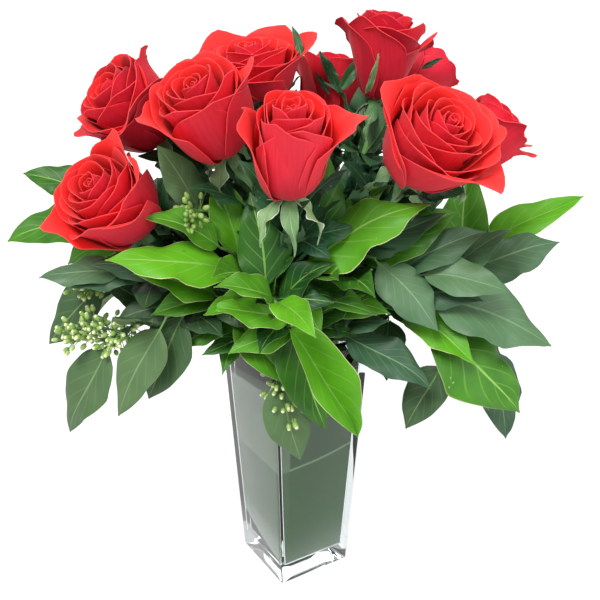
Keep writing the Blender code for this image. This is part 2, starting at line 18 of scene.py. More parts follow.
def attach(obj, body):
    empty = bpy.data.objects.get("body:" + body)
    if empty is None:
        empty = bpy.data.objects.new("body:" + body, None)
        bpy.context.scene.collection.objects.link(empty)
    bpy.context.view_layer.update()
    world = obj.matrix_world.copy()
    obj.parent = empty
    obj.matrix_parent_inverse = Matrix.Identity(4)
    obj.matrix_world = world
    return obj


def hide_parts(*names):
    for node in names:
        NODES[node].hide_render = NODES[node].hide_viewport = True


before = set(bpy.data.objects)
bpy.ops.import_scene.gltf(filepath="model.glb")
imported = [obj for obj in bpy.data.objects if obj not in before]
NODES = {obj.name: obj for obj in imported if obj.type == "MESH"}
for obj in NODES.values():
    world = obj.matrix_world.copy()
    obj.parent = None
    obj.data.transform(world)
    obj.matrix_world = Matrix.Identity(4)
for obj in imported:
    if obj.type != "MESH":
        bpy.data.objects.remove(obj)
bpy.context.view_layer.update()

# %% [markdown]
# ## Camera
# The camera stands a little above the blooms and looks down on them, from the
# left of the vase's corner, so that two sides of the glass show. The bunch has a
# front, so the camera's direction is that azimuth and a pitch, and its place
# follows from those and its distance. Directions by two angles serve the lights,
# the stems and the leaves too.

# %% Directions, and the camera
UP = Vector((0, 0, 1))
FRONT, VIEW_PITCH = 238, 23.3
VIEW_DISTANCE, VIEW_LENS, FILM_WIDTH, FARTHEST = 0.8, 56.1, 36.0, 60
AIM_HEIGHT, AIM_RIGHT, AIM_UP = 0.200, 0.005, 0.0515


def direction(azimuth, pitch):
    """The unit vector that points along an azimuth and a pitch in degrees."""
    a, p = math.radians(azimuth), math.radians(pitch)
    return Vector((math.cos(a) * math.cos(p), math.sin(a) * math.cos(p), math.sin(p)))


def place_turned(name, data, towards):
    """A camera or light whose back looks along a direction."""
    made = bpy.data.objects.new(name, data)
    bpy.context.scene.collection.objects.link(made)
    made.rotation_mode = "QUATERNION"
    made.rotation_quaternion = towards.to_track_quat("Z", "Y")
    return made


TO_VIEWER = direction(FRONT, VIEW_PITCH)
camera = place_turned("camera", bpy.data.cameras.new("camera"), TO_VIEWER)
aim = UP * AIM_HEIGHT + camera.rotation_quaternion @ Vector((AIM_RIGHT, AIM_UP, 0))
camera.location = aim + TO_VIEWER * VIEW_DISTANCE
camera.data.lens, camera.data.sensor_width, camera.data.clip_end = VIEW_LENS, FILM_WIDTH, FARTHEST
bpy.context.scene.camera = camera
print("camera at", [round(c, 4) for c in camera.location])

# %% [markdown]
# ## Shader arithmetic
# Every finish below is a mix of colours steered by masks, such as how near a
# point is to a petal's rim. A small class wraps a node's output, so that a mask
# can be written as an expression and the Math nodes add themselves.

# %% A wire between shader nodes
class Wire:
    """One output of a shader node. Arithmetic on it adds Math nodes."""

    def __init__(self, tree, socket=None):
        self.tree, self.socket = tree, socket

    def node(self, kind, settings=None, sockets=None, out=0):
        """Adds a node: its settings first, then the values or links of its sockets."""
        made = self.tree.nodes.new("ShaderNode" + kind)
        for name, value in (settings or {}).items():
            setattr(made, name, value)
        for name, value in (sockets or {}).items():
            if isinstance(value, Wire):
                self.tree.links.new(value.socket, made.inputs[name])
            else:
                is_colour = made.inputs[name].type == "RGBA" and len(value) == 3
                made.inputs[name].default_value = (*value, 1) if is_colour else value
        return Wire(self.tree, made.outputs[out])

    def math(self, operation, a, b=0.0, clamp=False):
        return self.node("Math", {"operation": operation, "use_clamp": clamp}, {0: a, 1: b})

    def __add__(self, other): return self.math("ADD", self, other)
    def __radd__(self, other): return self.math("ADD", other, self)
    def __sub__(self, other): return self.math("SUBTRACT", self, other)
    def __rsub__(self, other): return self.math("SUBTRACT", other, self)
    def __mul__(self, other): return self.math("MULTIPLY", self, other)
    def __rmul__(self, other): return self.math("MULTIPLY", other, self)
    def __truediv__(self, other): return self.math("DIVIDE", self, other)
    def __abs__(self): return self.math("ABSOLUTE", self)

    def clamp(self): return self.math("ADD", self, 0.0, clamp=True)
    def sine(self): return self.math("SINE", self)
    def fraction(self): return self.math("FRACT", self)
    def larger(self, other): return self.math("MAXIMUM", self, other)

    def step(self, low, high):
        """0 below low, 1 above high, and smooth between; low may be the greater."""
        settings = {"interpolation_type": "SMOOTHSTEP"}
        ends = {"From Min": min(low, high), "From Max": max(low, high),
                "To Min": float(low > high), "To Max": float(low < high)}
        return self.node("MapRange", settings, {"Value": self, **ends})

    def mix(self, a, b):
        """Colour a where this mask is 0 and colour b where it is 1."""
        return self.node("Mix", {"data_type": "RGBA"}, {0: self, 6: a, 7: b}, out=2)

    def noise(self, scale, detail=2.0, stretch=(1, 1, 1)):
        """Cloudy values about 0.5, wider or narrower along an axis."""
        place = self.node("TexCoord", out=3)
        place = self.node("Mapping", {}, {"Vector": place, "Scale": stretch})
        return self.node("TexNoise", {}, {"Vector": place, "Scale": scale, "Detail": detail})

    def parts(self):
        """The three numbers of a vector."""
        return [self.node("SeparateXYZ", {}, {0: self}, out=k) for k in range(3)]


print("a wire knows", len([name for name in vars(Wire) if callable(getattr(Wire, name))]), "operations")

# %% [markdown]
# ## Finishes
# Petals, leaves, glass and stems are all one kind of shader with different numbers
# and different wires, so a finish is that shader with its constants set, ready to
# be fed. Most of them read three numbers that each point of a mesh carries, such as
# how far across a petal it is, because veins and rims follow the petal.

# %% A finish being made
class Finish:
    """A material being made: its Principled shader, and the marks that its meshes carry."""

    def __init__(self, name, **constants):
        self.material = bpy.data.materials.new(name)
        self.material.use_nodes = True
        self.tree = self.material.node_tree
        self.shader = self.tree.nodes["Principled BSDF"]
        self.wire = Wire(self.tree)
        for socket, value in constants.items():
            self.shader.inputs[socket.replace("_", " ")].default_value = value

    def marks(self, name):
        """Three numbers that each point of a mesh carries under one name."""
        return self.wire.node("Attribute", {"attribute_name": name}, out=1).parts()

    def feed(self, socket, wire):
        self.tree.links.new(wire.socket, self.shader.inputs[socket])

    def bump(self, height, strength, distance):
        sockets = {"Height": height, "Strength": strength, "Distance": distance}
        self.feed("Normal", self.wire.node("Bump", {}, sockets))

    def report(self):
        print(self.material.name, "has", len(self.tree.nodes), "nodes and", len(self.tree.links), "links")


# %% [markdown]
# ## Floor and light
# A cut-flower catalogue shows a bunch on plain white, in light that comes from
# everywhere with only a hint of direction. A pale floor that reaches past the
# edges of the view does both jobs, because it is the background too. Suns with
# wide discs light it evenly, where a lamp near the vase would leave a bright pool.

# %% A pale floor
FLOOR_SIDE, FLOOR_BELOW = 60.0, 0.0002
bpy.ops.mesh.primitive_plane_add(size=FLOOR_SIDE, location=(0, 0, -FLOOR_BELOW))
floor = bpy.context.object
floor.name = "floor"
pale = Finish("pale_floor", Base_Color=(0.25, 0.25, 0.25, 1), Roughness=0.9, Specular_IOR_Level=0.1,
              Emission_Color=(1, 1, 1, 1), Emission_Strength=0.82)
cloudy = pale.wire.noise(3.0)
pale.feed("Roughness", 0.86 + cloudy * 0.08)
floor.data.materials.append(pale.material)
pale.report()

# %% Sky and suns
SKY_STRENGTH = 0.42
world = bpy.data.worlds.new("studio")
bpy.context.scene.world = world
world.use_nodes = True
sky = world.node_tree.nodes["Background"]
sky.inputs["Color"].default_value = (1, 1, 1, 1)
sky.inputs["Strength"].default_value = SKY_STRENGTH

# Each sun: name, azimuth and pitch that it shines from, strength, and disc in degrees.
SUNS = (
    ("key", 205, 52, 3.2, 24),
    ("fill", 285, 36, 1.6, 50),
    ("behind", 60, 35, 0.8, 40),
)
for name, azimuth, pitch, strength, disc in SUNS:
    sun = place_turned(name, bpy.data.lights.new(name, "SUN"), direction(azimuth, pitch))
    sun.data.energy, sun.data.angle = strength, math.radians(disc)
bpy.context.scene.view_settings.view_transform = "Standard"
print(len(SUNS), "suns of strength", [sun[3] for sun in SUNS], "under a sky of", SKY_STRENGTH)

# %% [markdown]
# ## Meshes made of sheets, tubes and turned shapes
# Petals and leaves are thin sheets, and stems are tubes. Both are grids of points,
# so one builder gathers them: it joins neighbouring points into faces, closes each
# sheet with a back and a rim so that it is a real solid, and keeps three numbers
# with every point for the finish to read.

# %% A builder for grids of points
def circle(first, second, sides):
    """Points round a circle of radius 1 that two directions span."""
    turn = np.linspace(0, 2 * np.pi, sides, endpoint=False)
    return np.outer(np.cos(turn), first) + np.outer(np.sin(turn), second)


class Shape:
    """Gathers grids of points, each with its marks and the number of its finish."""

    def __init__(self):
        self.points, self.faces, self.marks, self.finish, self.count = [], [], [], [], 0

    def add(self, points, faces, marks, finish):
        points, faces = np.asarray(points, float).reshape(-1, 3), np.asarray(faces, int)
        self.points.append(points)
        self.faces.append(faces + self.count)
        self.marks.append(np.broadcast_to(np.asarray(marks, float), (len(points), 3)))
        self.finish.append(np.full(len(faces), finish))
        self.count += len(points)

    def sheet(self, front, behind, front_marks, behind_marks, finish=0):
        """A closed thin body between two grids of the same size."""
        rows, columns = front.shape[:2]
        index = np.arange(rows * columns).reshape(rows, columns)
        quads = np.stack([index[:-1, :-1], index[:-1, 1:], index[1:, 1:], index[1:, :-1]], -1).reshape(-1, 4)
        edge = np.concatenate([index[0, :-1], index[:-1, -1], index[-1, :0:-1], index[:0:-1, 0]])
        after = np.roll(edge, -1)
        rim = np.stack([after, edge, edge + rows * columns, after + rows * columns], -1)
        faces = np.concatenate([quads, quads[:, ::-1] + rows * columns, rim])
        points = np.concatenate([front.reshape(-1, 3), behind.reshape(-1, 3)])
        marks = np.concatenate([front_marks.reshape(-1, 3), behind_marks.reshape(-1, 3)])
        self.add(points, faces, marks, finish)

    def tube(self, path, radii, sides=8, marks=(0, 0, 0), finish=0):
        """A round tube along a path, its ends drawn in to a point."""
        path = np.asarray(path, float)
        radii = np.broadcast_to(radii, len(path)).astype(float)
        ahead = np.gradient(path, axis=0)
        ahead /= np.linalg.norm(ahead, axis=1)[:, None]
        across = np.cross(ahead[0], (0.31, 0.23, 0.92))
        rings = []
        for centre, along, radius in zip(path, ahead, radii):
            across = across - along * across.dot(along)
            across /= np.linalg.norm(across)
            rings.append(centre + radius * circle(across, np.cross(along, across), sides))
        self.rings(rings, marks, finish)

    def rings(self, rings, marks=(0, 0, 0), finish=0, looped=False):
        """A closed body through rings of points: its ends meet, or a fan to its middle closes each."""
        rings = np.asarray(rings, float)
        count, sides = rings.shape[:2]
        index = np.arange(count * sides).reshape(count, sides)
        index = np.concatenate([index, index[:1]]) if looped else index
        after = np.roll(index, -1, axis=1)
        quads = np.stack([index[:-1], after[:-1], after[1:], index[1:]], -1).reshape(-1, 4)
        if looped:
            self.add(rings, quads, marks, finish)
            return
        start, end = count * sides, count * sides + 1
        low = np.stack([after[0], index[0], np.full(sides, start), np.full(sides, start)], -1)
        high = np.stack([index[-1], after[-1], np.full(sides, end), np.full(sides, end)], -1)
        points = np.concatenate([rings.reshape(-1, 3), [rings[0].mean(0)], [rings[-1].mean(0)]])
        marks = np.asarray(marks, float)
        if marks.ndim > 1:
            marks = marks.reshape(-1, 3)
            marks = np.concatenate([marks, marks[:1], marks[-1:]])
        self.add(points, np.concatenate([quads, low, high]), marks, finish)


trial = Shape()
trial.tube([(0, 0, 0), (0, 0, 0.05), (0, 0, 0.1)], 0.002)
print("a trial tube has", trial.count, "points and", len(trial.faces[0]), "faces")

# %% [markdown]
# ## From grids to a piece
# One spray or one bloom is one object, because that is what its solid is in the
# frame. Its mesh takes all the gathered grids at once, which is much quicker than
# joining hundreds of objects, and it carries the three numbers of each point.

# %% One object in place of its solids
def stand_in(shape, name, finishes, nodes, sharp=50):
    """Makes the object of a shape. It rides on the frame and replaces the solids of its nodes."""
    points, marks = np.concatenate(shape.points), np.concatenate(shape.marks)
    faces, finish = np.concatenate(shape.faces), np.concatenate(shape.finish)
    mesh = bpy.data.meshes.new(name)
    mesh.from_pydata(points.tolist(), [], [list(dict.fromkeys(face)) for face in faces.tolist()])
    mesh.attributes.new("marks", "FLOAT_VECTOR", "POINT").data.foreach_set("vector", marks.ravel())
    for made in finishes:
        mesh.materials.append(made.material)
    mesh.polygons.foreach_set("material_index", finish.astype(int))
    mesh.shade_smooth()
    mesh.set_sharp_from_angle(angle=math.radians(sharp))
    mesh.validate()
    made = bpy.data.objects.new(name, mesh)
    bpy.context.scene.collection.objects.link(made)
    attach(made, "root")
    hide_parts(*nodes)
    return made


print("a fan's faces lose their doubled corner:", list(dict.fromkeys((4, 5, 9, 9))))

# %% [markdown]
# ## Where everything stands
# The frame's stems and leaves were laid by rule: each stem rises from its place in
# a ring on the vase's floor, and each leaf takes the first free direction. The same
# tables and rules are repeated here, and each result is checked against the corners
# of the solid itself, so a finished leaf lies exactly where its solid does.

# %% Sizes of the vase, the stems and the hips
VASE_HEIGHT, VASE_FOOT_SIDE, VASE_MOUTH_SIDE = 0.229, 0.069, 0.092
VASE_WALL, VASE_FLOOR, GAP = 0.005, 0.018, 0.0003
LINING_THICKNESS, LINING_BELOW_RIM = 0.0008, 0.026
ROSE_STEM_RADIUS, GREEN_STEM_RADIUS = 0.0026, 0.0015
HIP_LENGTH, HIP_RADIUS, STEM_INTO_HIP = 0.013, 0.0062, 0.0078
STEM_SPACING, STEM_OFF_FLOOR, STRAIGHT_TO = 0.0012, 0.0012, VASE_HEIGHT + 0.004
print("vase", VASE_HEIGHT, "high, with stems of radius", ROSE_STEM_RADIUS, "and", GREEN_STEM_RADIUS)

# %% The table of rose heads
# Rose heads: azimuth, distance and height of the middle, direction and pitch of
# the axis, radius and length.
ROSE_HEADS = (
    (168, 0.144, 0.358, 195, 48, 0.040, 0.066),
    (144, 0.129, 0.415, 150, 38, 0.035, 0.064),
    (187, 0.079, 0.423, 200, 58, 0.039, 0.066),
    (98, 0.062, 0.438, 140, 66, 0.047, 0.046),
    (237, 0.090, 0.412, 250, 76, 0.031, 0.078),
    (38, 0.101, 0.413, 20, 72, 0.031, 0.060),
    (357, 0.080, 0.450, 0, 82, 0.034, 0.068),
    (8, 0.142, 0.424, 0, 35, 0.025, 0.050),
    (302, 0.114, 0.406, 292, 52, 0.045, 0.066),
    (331, 0.152, 0.394, 335, 40, 0.027, 0.052),
    (84, 0.148, 0.372, 85, 45, 0.038, 0.064),
    (56, 0.152, 0.318, 50, 38, 0.036, 0.062),
)
heights = sorted(head[2] for head in ROSE_HEADS)
print(len(heights), "heads, from", heights[0], "to", heights[-1], "high")

# %% The table of sprays
# Sprays: kind; azimuth, distance and height of the tip; leaves from the tip down
# as direction, pitch and length; strings of seed capsules in the same way.
SPRAYS = (
    ("salal", 150, 0.150, 0.340, ((138, 19, 0.072), (154, -11, 0.102), (158, -26, 0.085)), ()),
    ("gum", 172, 0.140, 0.302, ((148, -1, 0.068), (160, -2, 0.068), (178, 32, 0.070)), ()),
    ("roundgum", 158, 0.148, 0.286, ((148, -45, 0.082), (120, -25, 0.075)), ((168, 10, 0.045),)),
    ("roundgum", 170, 0.152, 0.248, ((148, -62, 0.098),), ((150, 15, 0.058), (168, -5, 0.045))),
    ("roundgum", 184, 0.120, 0.272, ((155, -62, 0.092), (160, -65, 0.085), (170, -15, 0.060)), ()),
    ("salal", 204, 0.074, 0.304, ((170, 15, 0.104), (225, 35, 0.070)), ()),
    ("salal", 193, 0.077, 0.322, ((162, 30, 0.066), (100, 20, 0.070)), ()),
    ("salal", 222, 0.072, 0.292, ((82, 81, 0.078), (195, 12, 0.070)), ()),
    ("salal", 243, 0.060, 0.308, ((328, 29, 0.110), (264, -30, 0.054), (294, 12, 0.070)), ()),
    ("salal", 237, 0.083, 0.272, ((163, 46, 0.066), (140, 25, 0.060)), ()),
    ("salal", 231, 0.100, 0.297, ((268, -4, 0.056), (190, 20, 0.060)), ()),
    ("salal", 198, 0.075, 0.266, ((300, -41, 0.072), (175, -20, 0.060)), ()),
    ("salal", 232, 0.078, 0.272, ((314, -56, 0.114), (296, -60, 0.098)), ()),
    ("salal", 189, 0.077, 0.280, ((174, 27, 0.074), (178, 5, 0.072), (200, -2, 0.055)), ()),
    ("roundgum", 227, 0.077, 0.228, ((328, -76, 0.084),), ((300, -68, 0.045),)),
    ("gum", 289, 0.080, 0.312, ((300, -42, 0.074), (345, 15, 0.080)), ()),
    ("gum", 277, 0.060, 0.248, ((306, -24, 0.084), (300, 12, 0.070)), ()),
    ("roundgum", 308, 0.131, 0.224, ((158, -64, 0.070), (350, -35, 0.070)), ()),
    ("salal", 306, 0.112, 0.258, ((317, -43, 0.114), (290, -20, 0.075)), ()),
    ("gum", 304, 0.110, 0.280, ((325, -22, 0.114), (285, 5, 0.070)), ()),
    ("gum", 301, 0.108, 0.298, ((314, -4, 0.070), (330, 30, 0.080)), ()),
    ("gum", 328, 0.142, 0.283, ((330, 17, 0.080), (310, 40, 0.070)), ()),
    ("salal", 340, 0.160, 0.284, ((336, 28, 0.104), (5, 10, 0.085)), ()),
    ("salal", 334, 0.140, 0.279, ((2, 76, 0.092), (350, -20, 0.080)), ()),
    ("gum", 333, 0.178, 0.206, ((300, -80, 0.092), (325, -66, 0.095), (350, -50, 0.070)), ()),
    ("roundgum", 345, 0.150, 0.202, ((341, -61, 0.064), (20, -50, 0.070)), ()),
    ("salal", 262, 0.050, 0.318, (
        (240, 55, 0.085), (330, 45, 0.085), (215, 25, 0.075), (290, 15, 0.070)), ()),
    ("salal", 292, 0.062, 0.300, ((310, 55, 0.090), (270, 35, 0.080), (350, 30, 0.080)), ()),
    ("gum", 12, 0.135, 0.300, (
        (15, 5, 0.085), (350, 35, 0.080), (45, 25, 0.080), (10, -40, 0.080), (20, 60, 0.075)), ()),
    ("salal", 40, 0.115, 0.285, (
        (45, 10, 0.100), (20, -15, 0.090), (70, 30, 0.090), (45, -45, 0.090),
        (25, 40, 0.085), (60, 65, 0.080)), ()),
    ("gum", 68, 0.125, 0.300, (
        (70, 15, 0.090), (95, -10, 0.085), (50, 35, 0.080), (75, -55, 0.085),
        (100, 40, 0.080), (60, 5, 0.075)), ()),
    ("salal", 96, 0.110, 0.290, (
        (100, 12, 0.100), (75, -15, 0.090), (125, 20, 0.090), (95, -45, 0.090),
        (110, 55, 0.085), (60, 50, 0.080)), ()),
    ("roundgum", 126, 0.145, 0.275, (
        (130, -50, 0.090), (105, -30, 0.080), (150, -5, 0.080), (125, 35, 0.075)), ((125, -30, 0.050),)),
    ("roundgum", 176, 0.080, 0.345, ((150, 60, 0.060),), ((190, 20, 0.026),)),
)

print(len(SPRAYS), "sprays with", sum(len(row[5]) for row in SPRAYS), "strings of capsules")

# %% Leaves that fill the bunch, and the ways to lay one clear
# Leaves that fill the bunch below a spray's listed ones: degrees aside from the
# spray's azimuth, and pitch; and those on each rose's stem, by depth below the hip.
FILLERS = ((75, 30), (-75, 30), (180, 45))
FILLER_LENGTH = 0.062
ROSE_LEAF_DEPTHS = (0.045, 0.062, 0.079, 0.096, 0.113)
ROSE_LEAF_LENGTH, ROSE_LEAF_PITCH, ROSE_LEAF_TURN = 0.050, 12, 137.5

# How a leaf may be turned or shortened until it lies clear of its neighbours:
# degrees sideways, degrees up, and its length.
WAYS_ASIDE = ((0, 1), (1, 0), (-1, 0), (0, -1), (0.7, 0.7), (-0.7, 0.7), (0.7, -0.7), (-0.7, -0.7))
NUDGES = [(0, 0, 1.0)] + [
    (side * step, lift * step, size)
    for size in (1.0, 0.88, 0.75)
    for step in (6, 12, 18, 26, 36, 48, 64)
    for side, lift in WAYS_ASIDE
]
# How far the middle of a stem may bow aside, in metres, for the same reason.
BOW_STEPS = (0.003, 0.006, 0.009, 0.013, 0.018, 0.024, 0.031)
BOWS = [0.0] + [side * step for step in BOW_STEPS for side in (1, -1)]
print(len(NUDGES), "ways to turn a leaf and", len(BOWS), "to bow a stem")


# %% Curves and the places of stems
def polar(azimuth, radius, height):
    """The point at an azimuth, a distance from the vase's axis and a height."""
    return direction(azimuth, 0) * radius + UP * height


def side_at(height):
    """Width of the vase's outside at a height."""
    return VASE_FOOT_SIDE + (VASE_MOUTH_SIDE - VASE_FOOT_SIDE) * height / VASE_HEIGHT


def slots(azimuths):
    """Evenly spaced places round a ring, in the order of the pieces' own azimuths."""
    order = sorted(range(len(azimuths)), key=lambda i: azimuths[i] % 360)
    step = 360 / len(azimuths)
    drift = sum(azimuths[i] % 360 - k * step for k, i in enumerate(order)) / len(azimuths)
    return {i: drift + k * step for k, i in enumerate(order)}


def stem_route(slot, ring, tip, leaving, bow, steps):
    """Points from the floor, straight to the mouth, then curving to a tip reached along a direction."""
    low, high = polar(slot, ring[0], VASE_FLOOR + STEM_OFF_FLOOR), polar(slot, ring[1], STRAIGHT_TO)
    span = (tip - high).length
    rising = ((high - low).normalized() + UP * 0.6).normalized()
    aside = UP.cross(tip - high)
    aside = aside.normalized() * bow if aside.length > 1e-6 else aside
    a, d = high, tip
    b, c = high + rising * span * 0.38 + aside, tip - leaving * span * 0.34 + aside
    curve = [a * (1 - t) ** 3 + b * 3 * t * (1 - t) ** 2 + c * 3 * t * t * (1 - t) + d * t ** 3
             for t in (i / steps for i in range(steps + 1))]
    return [low, low.lerp(high, 0.5)] + curve


def along_from_tip(points, back):
    """The point so far back along a route from its end."""
    for far, near in zip(reversed(points), list(reversed(points))[1:]):
        span = (far - near).length
        if back <= span:
            return far.lerp(near, back / span)
        back -= span
    return points[0]


# A leaf's upper side looks up and leans outwards, or to the front unless it is well behind.
LEAN, BEHIND = 0.7, -0.25


def facing_at(root):
    """The direction that the upper side of a leaf on this place looks in."""
    outwards = Vector((root.x, root.y, 0)).normalized()
    front = direction(FRONT, 0)
    return UP + (front if outwards.dot(front) > BEHIND else outwards) * LEAN


LINING = VASE_WALL + 2 * GAP + LINING_THICKNESS + GREEN_STEM_RADIUS + STEM_SPACING
GREEN_RING = side_at(VASE_FLOOR) / 2 - LINING, VASE_MOUTH_SIDE / 2 - LINING
ROSE_FOOT = len(ROSE_HEADS) * (2 * ROSE_STEM_RADIUS + STEM_SPACING) / (2 * math.pi)
ROSE_RING = ROSE_FOOT, ROSE_FOOT * GREEN_RING[1] / GREEN_RING[0]
print("stems stand", round(ROSE_FOOT, 4), "and", round(GREEN_RING[0], 4), "from the axis at the floor")

# %% [markdown]
# ## Read the frame's choices back
# Which way a leaf was turned to clear its neighbours, and how far a stem bows, the
# solid itself knows best. Each way that the frame could have taken is tried, and
# the one whose points fall on the solid's corners is the one that it took. A leaf
# that the frame left out fits nowhere, so it is left out here too.

# %% Corners of a solid, and the bow of a stem
def corners_of(node):
    """The corners of one solid, sorted so that the nearest is quick to find."""
    vertices = NODES[node].data.vertices
    tree = KDTree(len(vertices))
    for vertex in vertices:
        tree.insert(vertex.co, vertex.index)
    tree.balance()
    return tree


def laid_stem(corners, slot, ring, tip, leaving, radii, steps):
    """The bow at which the route's bends lie as far from the solid's corners as its radius says."""
    def misfit(bow):
        points = stem_route(slot, ring, tip, leaving, bow, steps)
        last = len(points) - 1
        return sum(abs(corners.find(points[k])[2] - radii[0] - (radii[1] - radii[0]) * k / last)
                   for k in range(2, last))
    return min(BOWS, key=misfit)


nearest = corners_of("vase").find(UP * VASE_HEIGHT)[2]
print("the nearest corner of the vase is", round(nearest, 4), "from the middle of its mouth")

# %% The arc of a leaf
# Each kind of leaf: width as a share of length, bare stalk share, widest place,
# fold of its halves, droop in degrees along its length, and how pointed it is. The
# first four kinds stand in the frame, and the others grow only here.
LEAF_KINDS = {
    "salal": (0.44, 0.08, 0.37, 0.22, 38, 1.75),
    "gum": (0.40, 0.08, 0.38, 0.14, 30, 1.75),
    "roundgum": (0.50, 0.14, 0.35, 0.10, 18, 1.5),
    "rose": (0.56, 0.14, 0.40, 0.14, 34, 1.6),
    "sepal": (0.30, 0.04, 0.26, 0.10, 50, 1.7),
    "blade": (0.24, 0.02, 0.40, 0.30, 16, 1.5),
    "wisp": (0.11, 0.02, 0.30, 0.30, 30, 1.3),
    "young": (0.32, 0.06, 0.40, 0.20, 26, 1.5),
}
STALK_DEPTH, LEAF_GAP_ON_STEM = 0.0015, 0.020
ON_CORNER = 0.0003


def leaf_axes(heading, facing):
    """Forward, up and sideways for a leaf that starts along heading and faces about facing."""
    forward = heading.normalized()
    normal = (facing - forward * facing.dot(forward)).normalized()
    return forward, normal, forward.cross(normal)


def midrib(root, heading, facing, length, kind, along):
    """The centre of a leaf so far along it, and the direction its upper side looks there."""
    forward, normal, _ = leaf_axes(heading, facing)
    bend = math.radians(LEAF_KINDS[kind][4])
    angle = bend * (0.5 - along)
    arc = forward * (math.sin(bend / 2) - math.sin(angle)) + normal * (math.cos(angle) - math.cos(bend / 2))
    return root + arc * length / bend, normal * math.cos(angle) - forward * math.sin(angle)


def laid_leaf(corners, root, azimuth, pitch, length, kind):
    """Heading and length of the first way to lie whose tip is a corner of the solid, or None."""
    for sideways, up, size in NUDGES:
        heading = direction(azimuth + sideways, pitch + up)
        tip = midrib(root, heading, facing_at(root), length * size, kind, 1.0)[0]
        if corners.find(tip)[2] < ON_CORNER:
            return heading, length * size
    return None


print(len(LEAF_KINDS), "kinds of leaf, their shares", [kind[0] for kind in LEAF_KINDS.values()])

# %% Find every spray's stem and leaves
COARSE_STEPS, FINE_STEPS = 4, 28


def lay_spray(number, row, slot):
    """Everything about one spray: its node, its stem's route, its leaves and its strings of capsules."""
    kind, azimuth, distance, height, leaves, strings = row
    node = f"{kind}_spray_{number:02d}"
    corners = corners_of(node)
    tip = polar(azimuth, distance, height)
    leaving = (direction(*leaves[0][:2]) + direction(azimuth, 20)).normalized()
    radii = GREEN_STEM_RADIUS, GREEN_STEM_RADIUS * 0.7
    bow = laid_stem(corners, slot, GREEN_RING, tip, leaving, radii, COARSE_STEPS)
    coarse = stem_route(slot, GREEN_RING, tip, leaving, bow, COARSE_STEPS)
    blades = []
    fillers = tuple((azimuth + aside, up, FILLER_LENGTH) for aside, up in FILLERS)
    for index, (towards, up, length) in enumerate(leaves + fillers):
        root = along_from_tip(coarse, STALK_DEPTH + index * LEAF_GAP_ON_STEM)
        found = laid_leaf(corners, root, towards, up, length, kind)
        if found:
            blades.append((root, *found, index >= len(leaves)))
    hung = []
    for index, (towards, up, length) in enumerate(strings):
        root = along_from_tip(coarse, STALK_DEPTH + (index + 0.5) * LEAF_GAP_ON_STEM)
        hung.append((root, direction(towards, up), length))
    return node, stem_route(slot, GREEN_RING, tip, leaving, bow, FINE_STEPS), blades, hung


green_slots = slots([row[1] for row in SPRAYS])
LAID = [lay_spray(i + 1, row, green_slots[i]) for i, row in enumerate(SPRAYS)]
fills = [blade[3] for _, _, blades, _ in LAID for blade in blades]
print(fills.count(False), "leaves found of", sum(len(row[4]) for row in SPRAYS), "listed, and",
      fills.count(True), "that fill the bunch")

# %% [markdown]
# ## Leaves
# Three kinds of foliage fill the bunch. Salal has broad, glossy, bright leaves with
# wavy rims that dry to a pale line; gum leaves are grey-green and satin, with side
# veins; and the round leaves of seeded gum are olive and hang on thin stalks. A
# leaf's colours are painted from two numbers per point, how far it is from the
# midrib and how far along, because veins follow the leaf and not the room.

# %% Finishes for leaves
def leaf_finish(name, deep, light, vein, under, rim, gloss, veins, vein_strength, relief, rim_starts=0.97):
    """Upper side between two greens, paler veins, a lighter underside and a dry rim."""
    made = Finish(name, Specular_IOR_Level=0.28)
    across, along, side = made.marks("marks")
    off = abs(across)
    # The third mark is each leaf's tone: partly a random tone, partly painted light and shade. Low tones
    # paint the shade deep in the bunch, and high ones the light on leaves in the open.
    shade, under_mask = side.fraction(), side.step(0.98, 1.02)
    mottle, patch = made.wire.noise(60.0, 3.0), made.wire.noise(18.0, 2.0)
    lateral = ((along * veins - off * veins * 0.32 + patch * 0.5) * 2 * math.pi).sine()
    lateral = lateral.step(0.88, 1.0) * off.step(0.96, 0.55) * vein_strength
    rib = off.step(0.055, 0.018)
    green = (mottle * 0.35 + patch * 0.4 + shade * 0.9 - 0.35).clamp().mix(deep, light)
    back = (mottle * 0.6 + shade * 0.3).clamp().mix(under, tuple(0.82 * c for c in under))
    lines = (rib + lateral).clamp()
    top = (lines * 0.75).mix(green, vein)
    below = (lines * 0.6).mix(back, vein)
    body = under_mask.mix(top, below)
    # The dry rim fades out on low tones, along with their painted shade.
    dried = off.step(rim_starts, rim_starts + 0.02) * (shade * 1.5 - 0.3).clamp()
    made.feed("Base Color", dried.mix(body, rim))
    made.feed("Roughness", gloss + mottle * 0.16 + under_mask * 0.22)
    made.bump(mottle * 0.25 - lines * 0.8, relief, 0.0006)
    made.report()
    return made


SALAL = leaf_finish("salal_leaf", (0.004, 0.040, 0.010), (0.105, 0.370, 0.008), (0.26, 0.48, 0.10),
                    (0.20, 0.36, 0.12), (0.60, 0.58, 0.30), 0.40, 6, 0.30, 0.4)
GUM = leaf_finish("gum_leaf", (0.010, 0.048, 0.026), (0.100, 0.200, 0.090), (0.17, 0.29, 0.15),
                  (0.14, 0.22, 0.13), (0.13, 0.22, 0.12), 0.36, 8, 0.34, 0.5, 0.985)
ROUND_GUM = leaf_finish("round_gum_leaf", (0.022, 0.062, 0.022), (0.090, 0.165, 0.062), (0.18, 0.27, 0.12),
                        (0.13, 0.20, 0.09), (0.18, 0.26, 0.12), 0.42, 6, 0.26, 0.4, 0.985)
# Rose leaves are a deep green of their own, and this finish is darker still as painted shade for the middle
# of the bunch, where most of them stand.
ROSE_LEAF = leaf_finish("rose_leaf", (0.006, 0.040, 0.018), (0.035, 0.125, 0.040), (0.11, 0.24, 0.09),
                        (0.10, 0.20, 0.10), (0.05, 0.10, 0.04), 0.34, 7, 0.45, 0.6, 0.985)

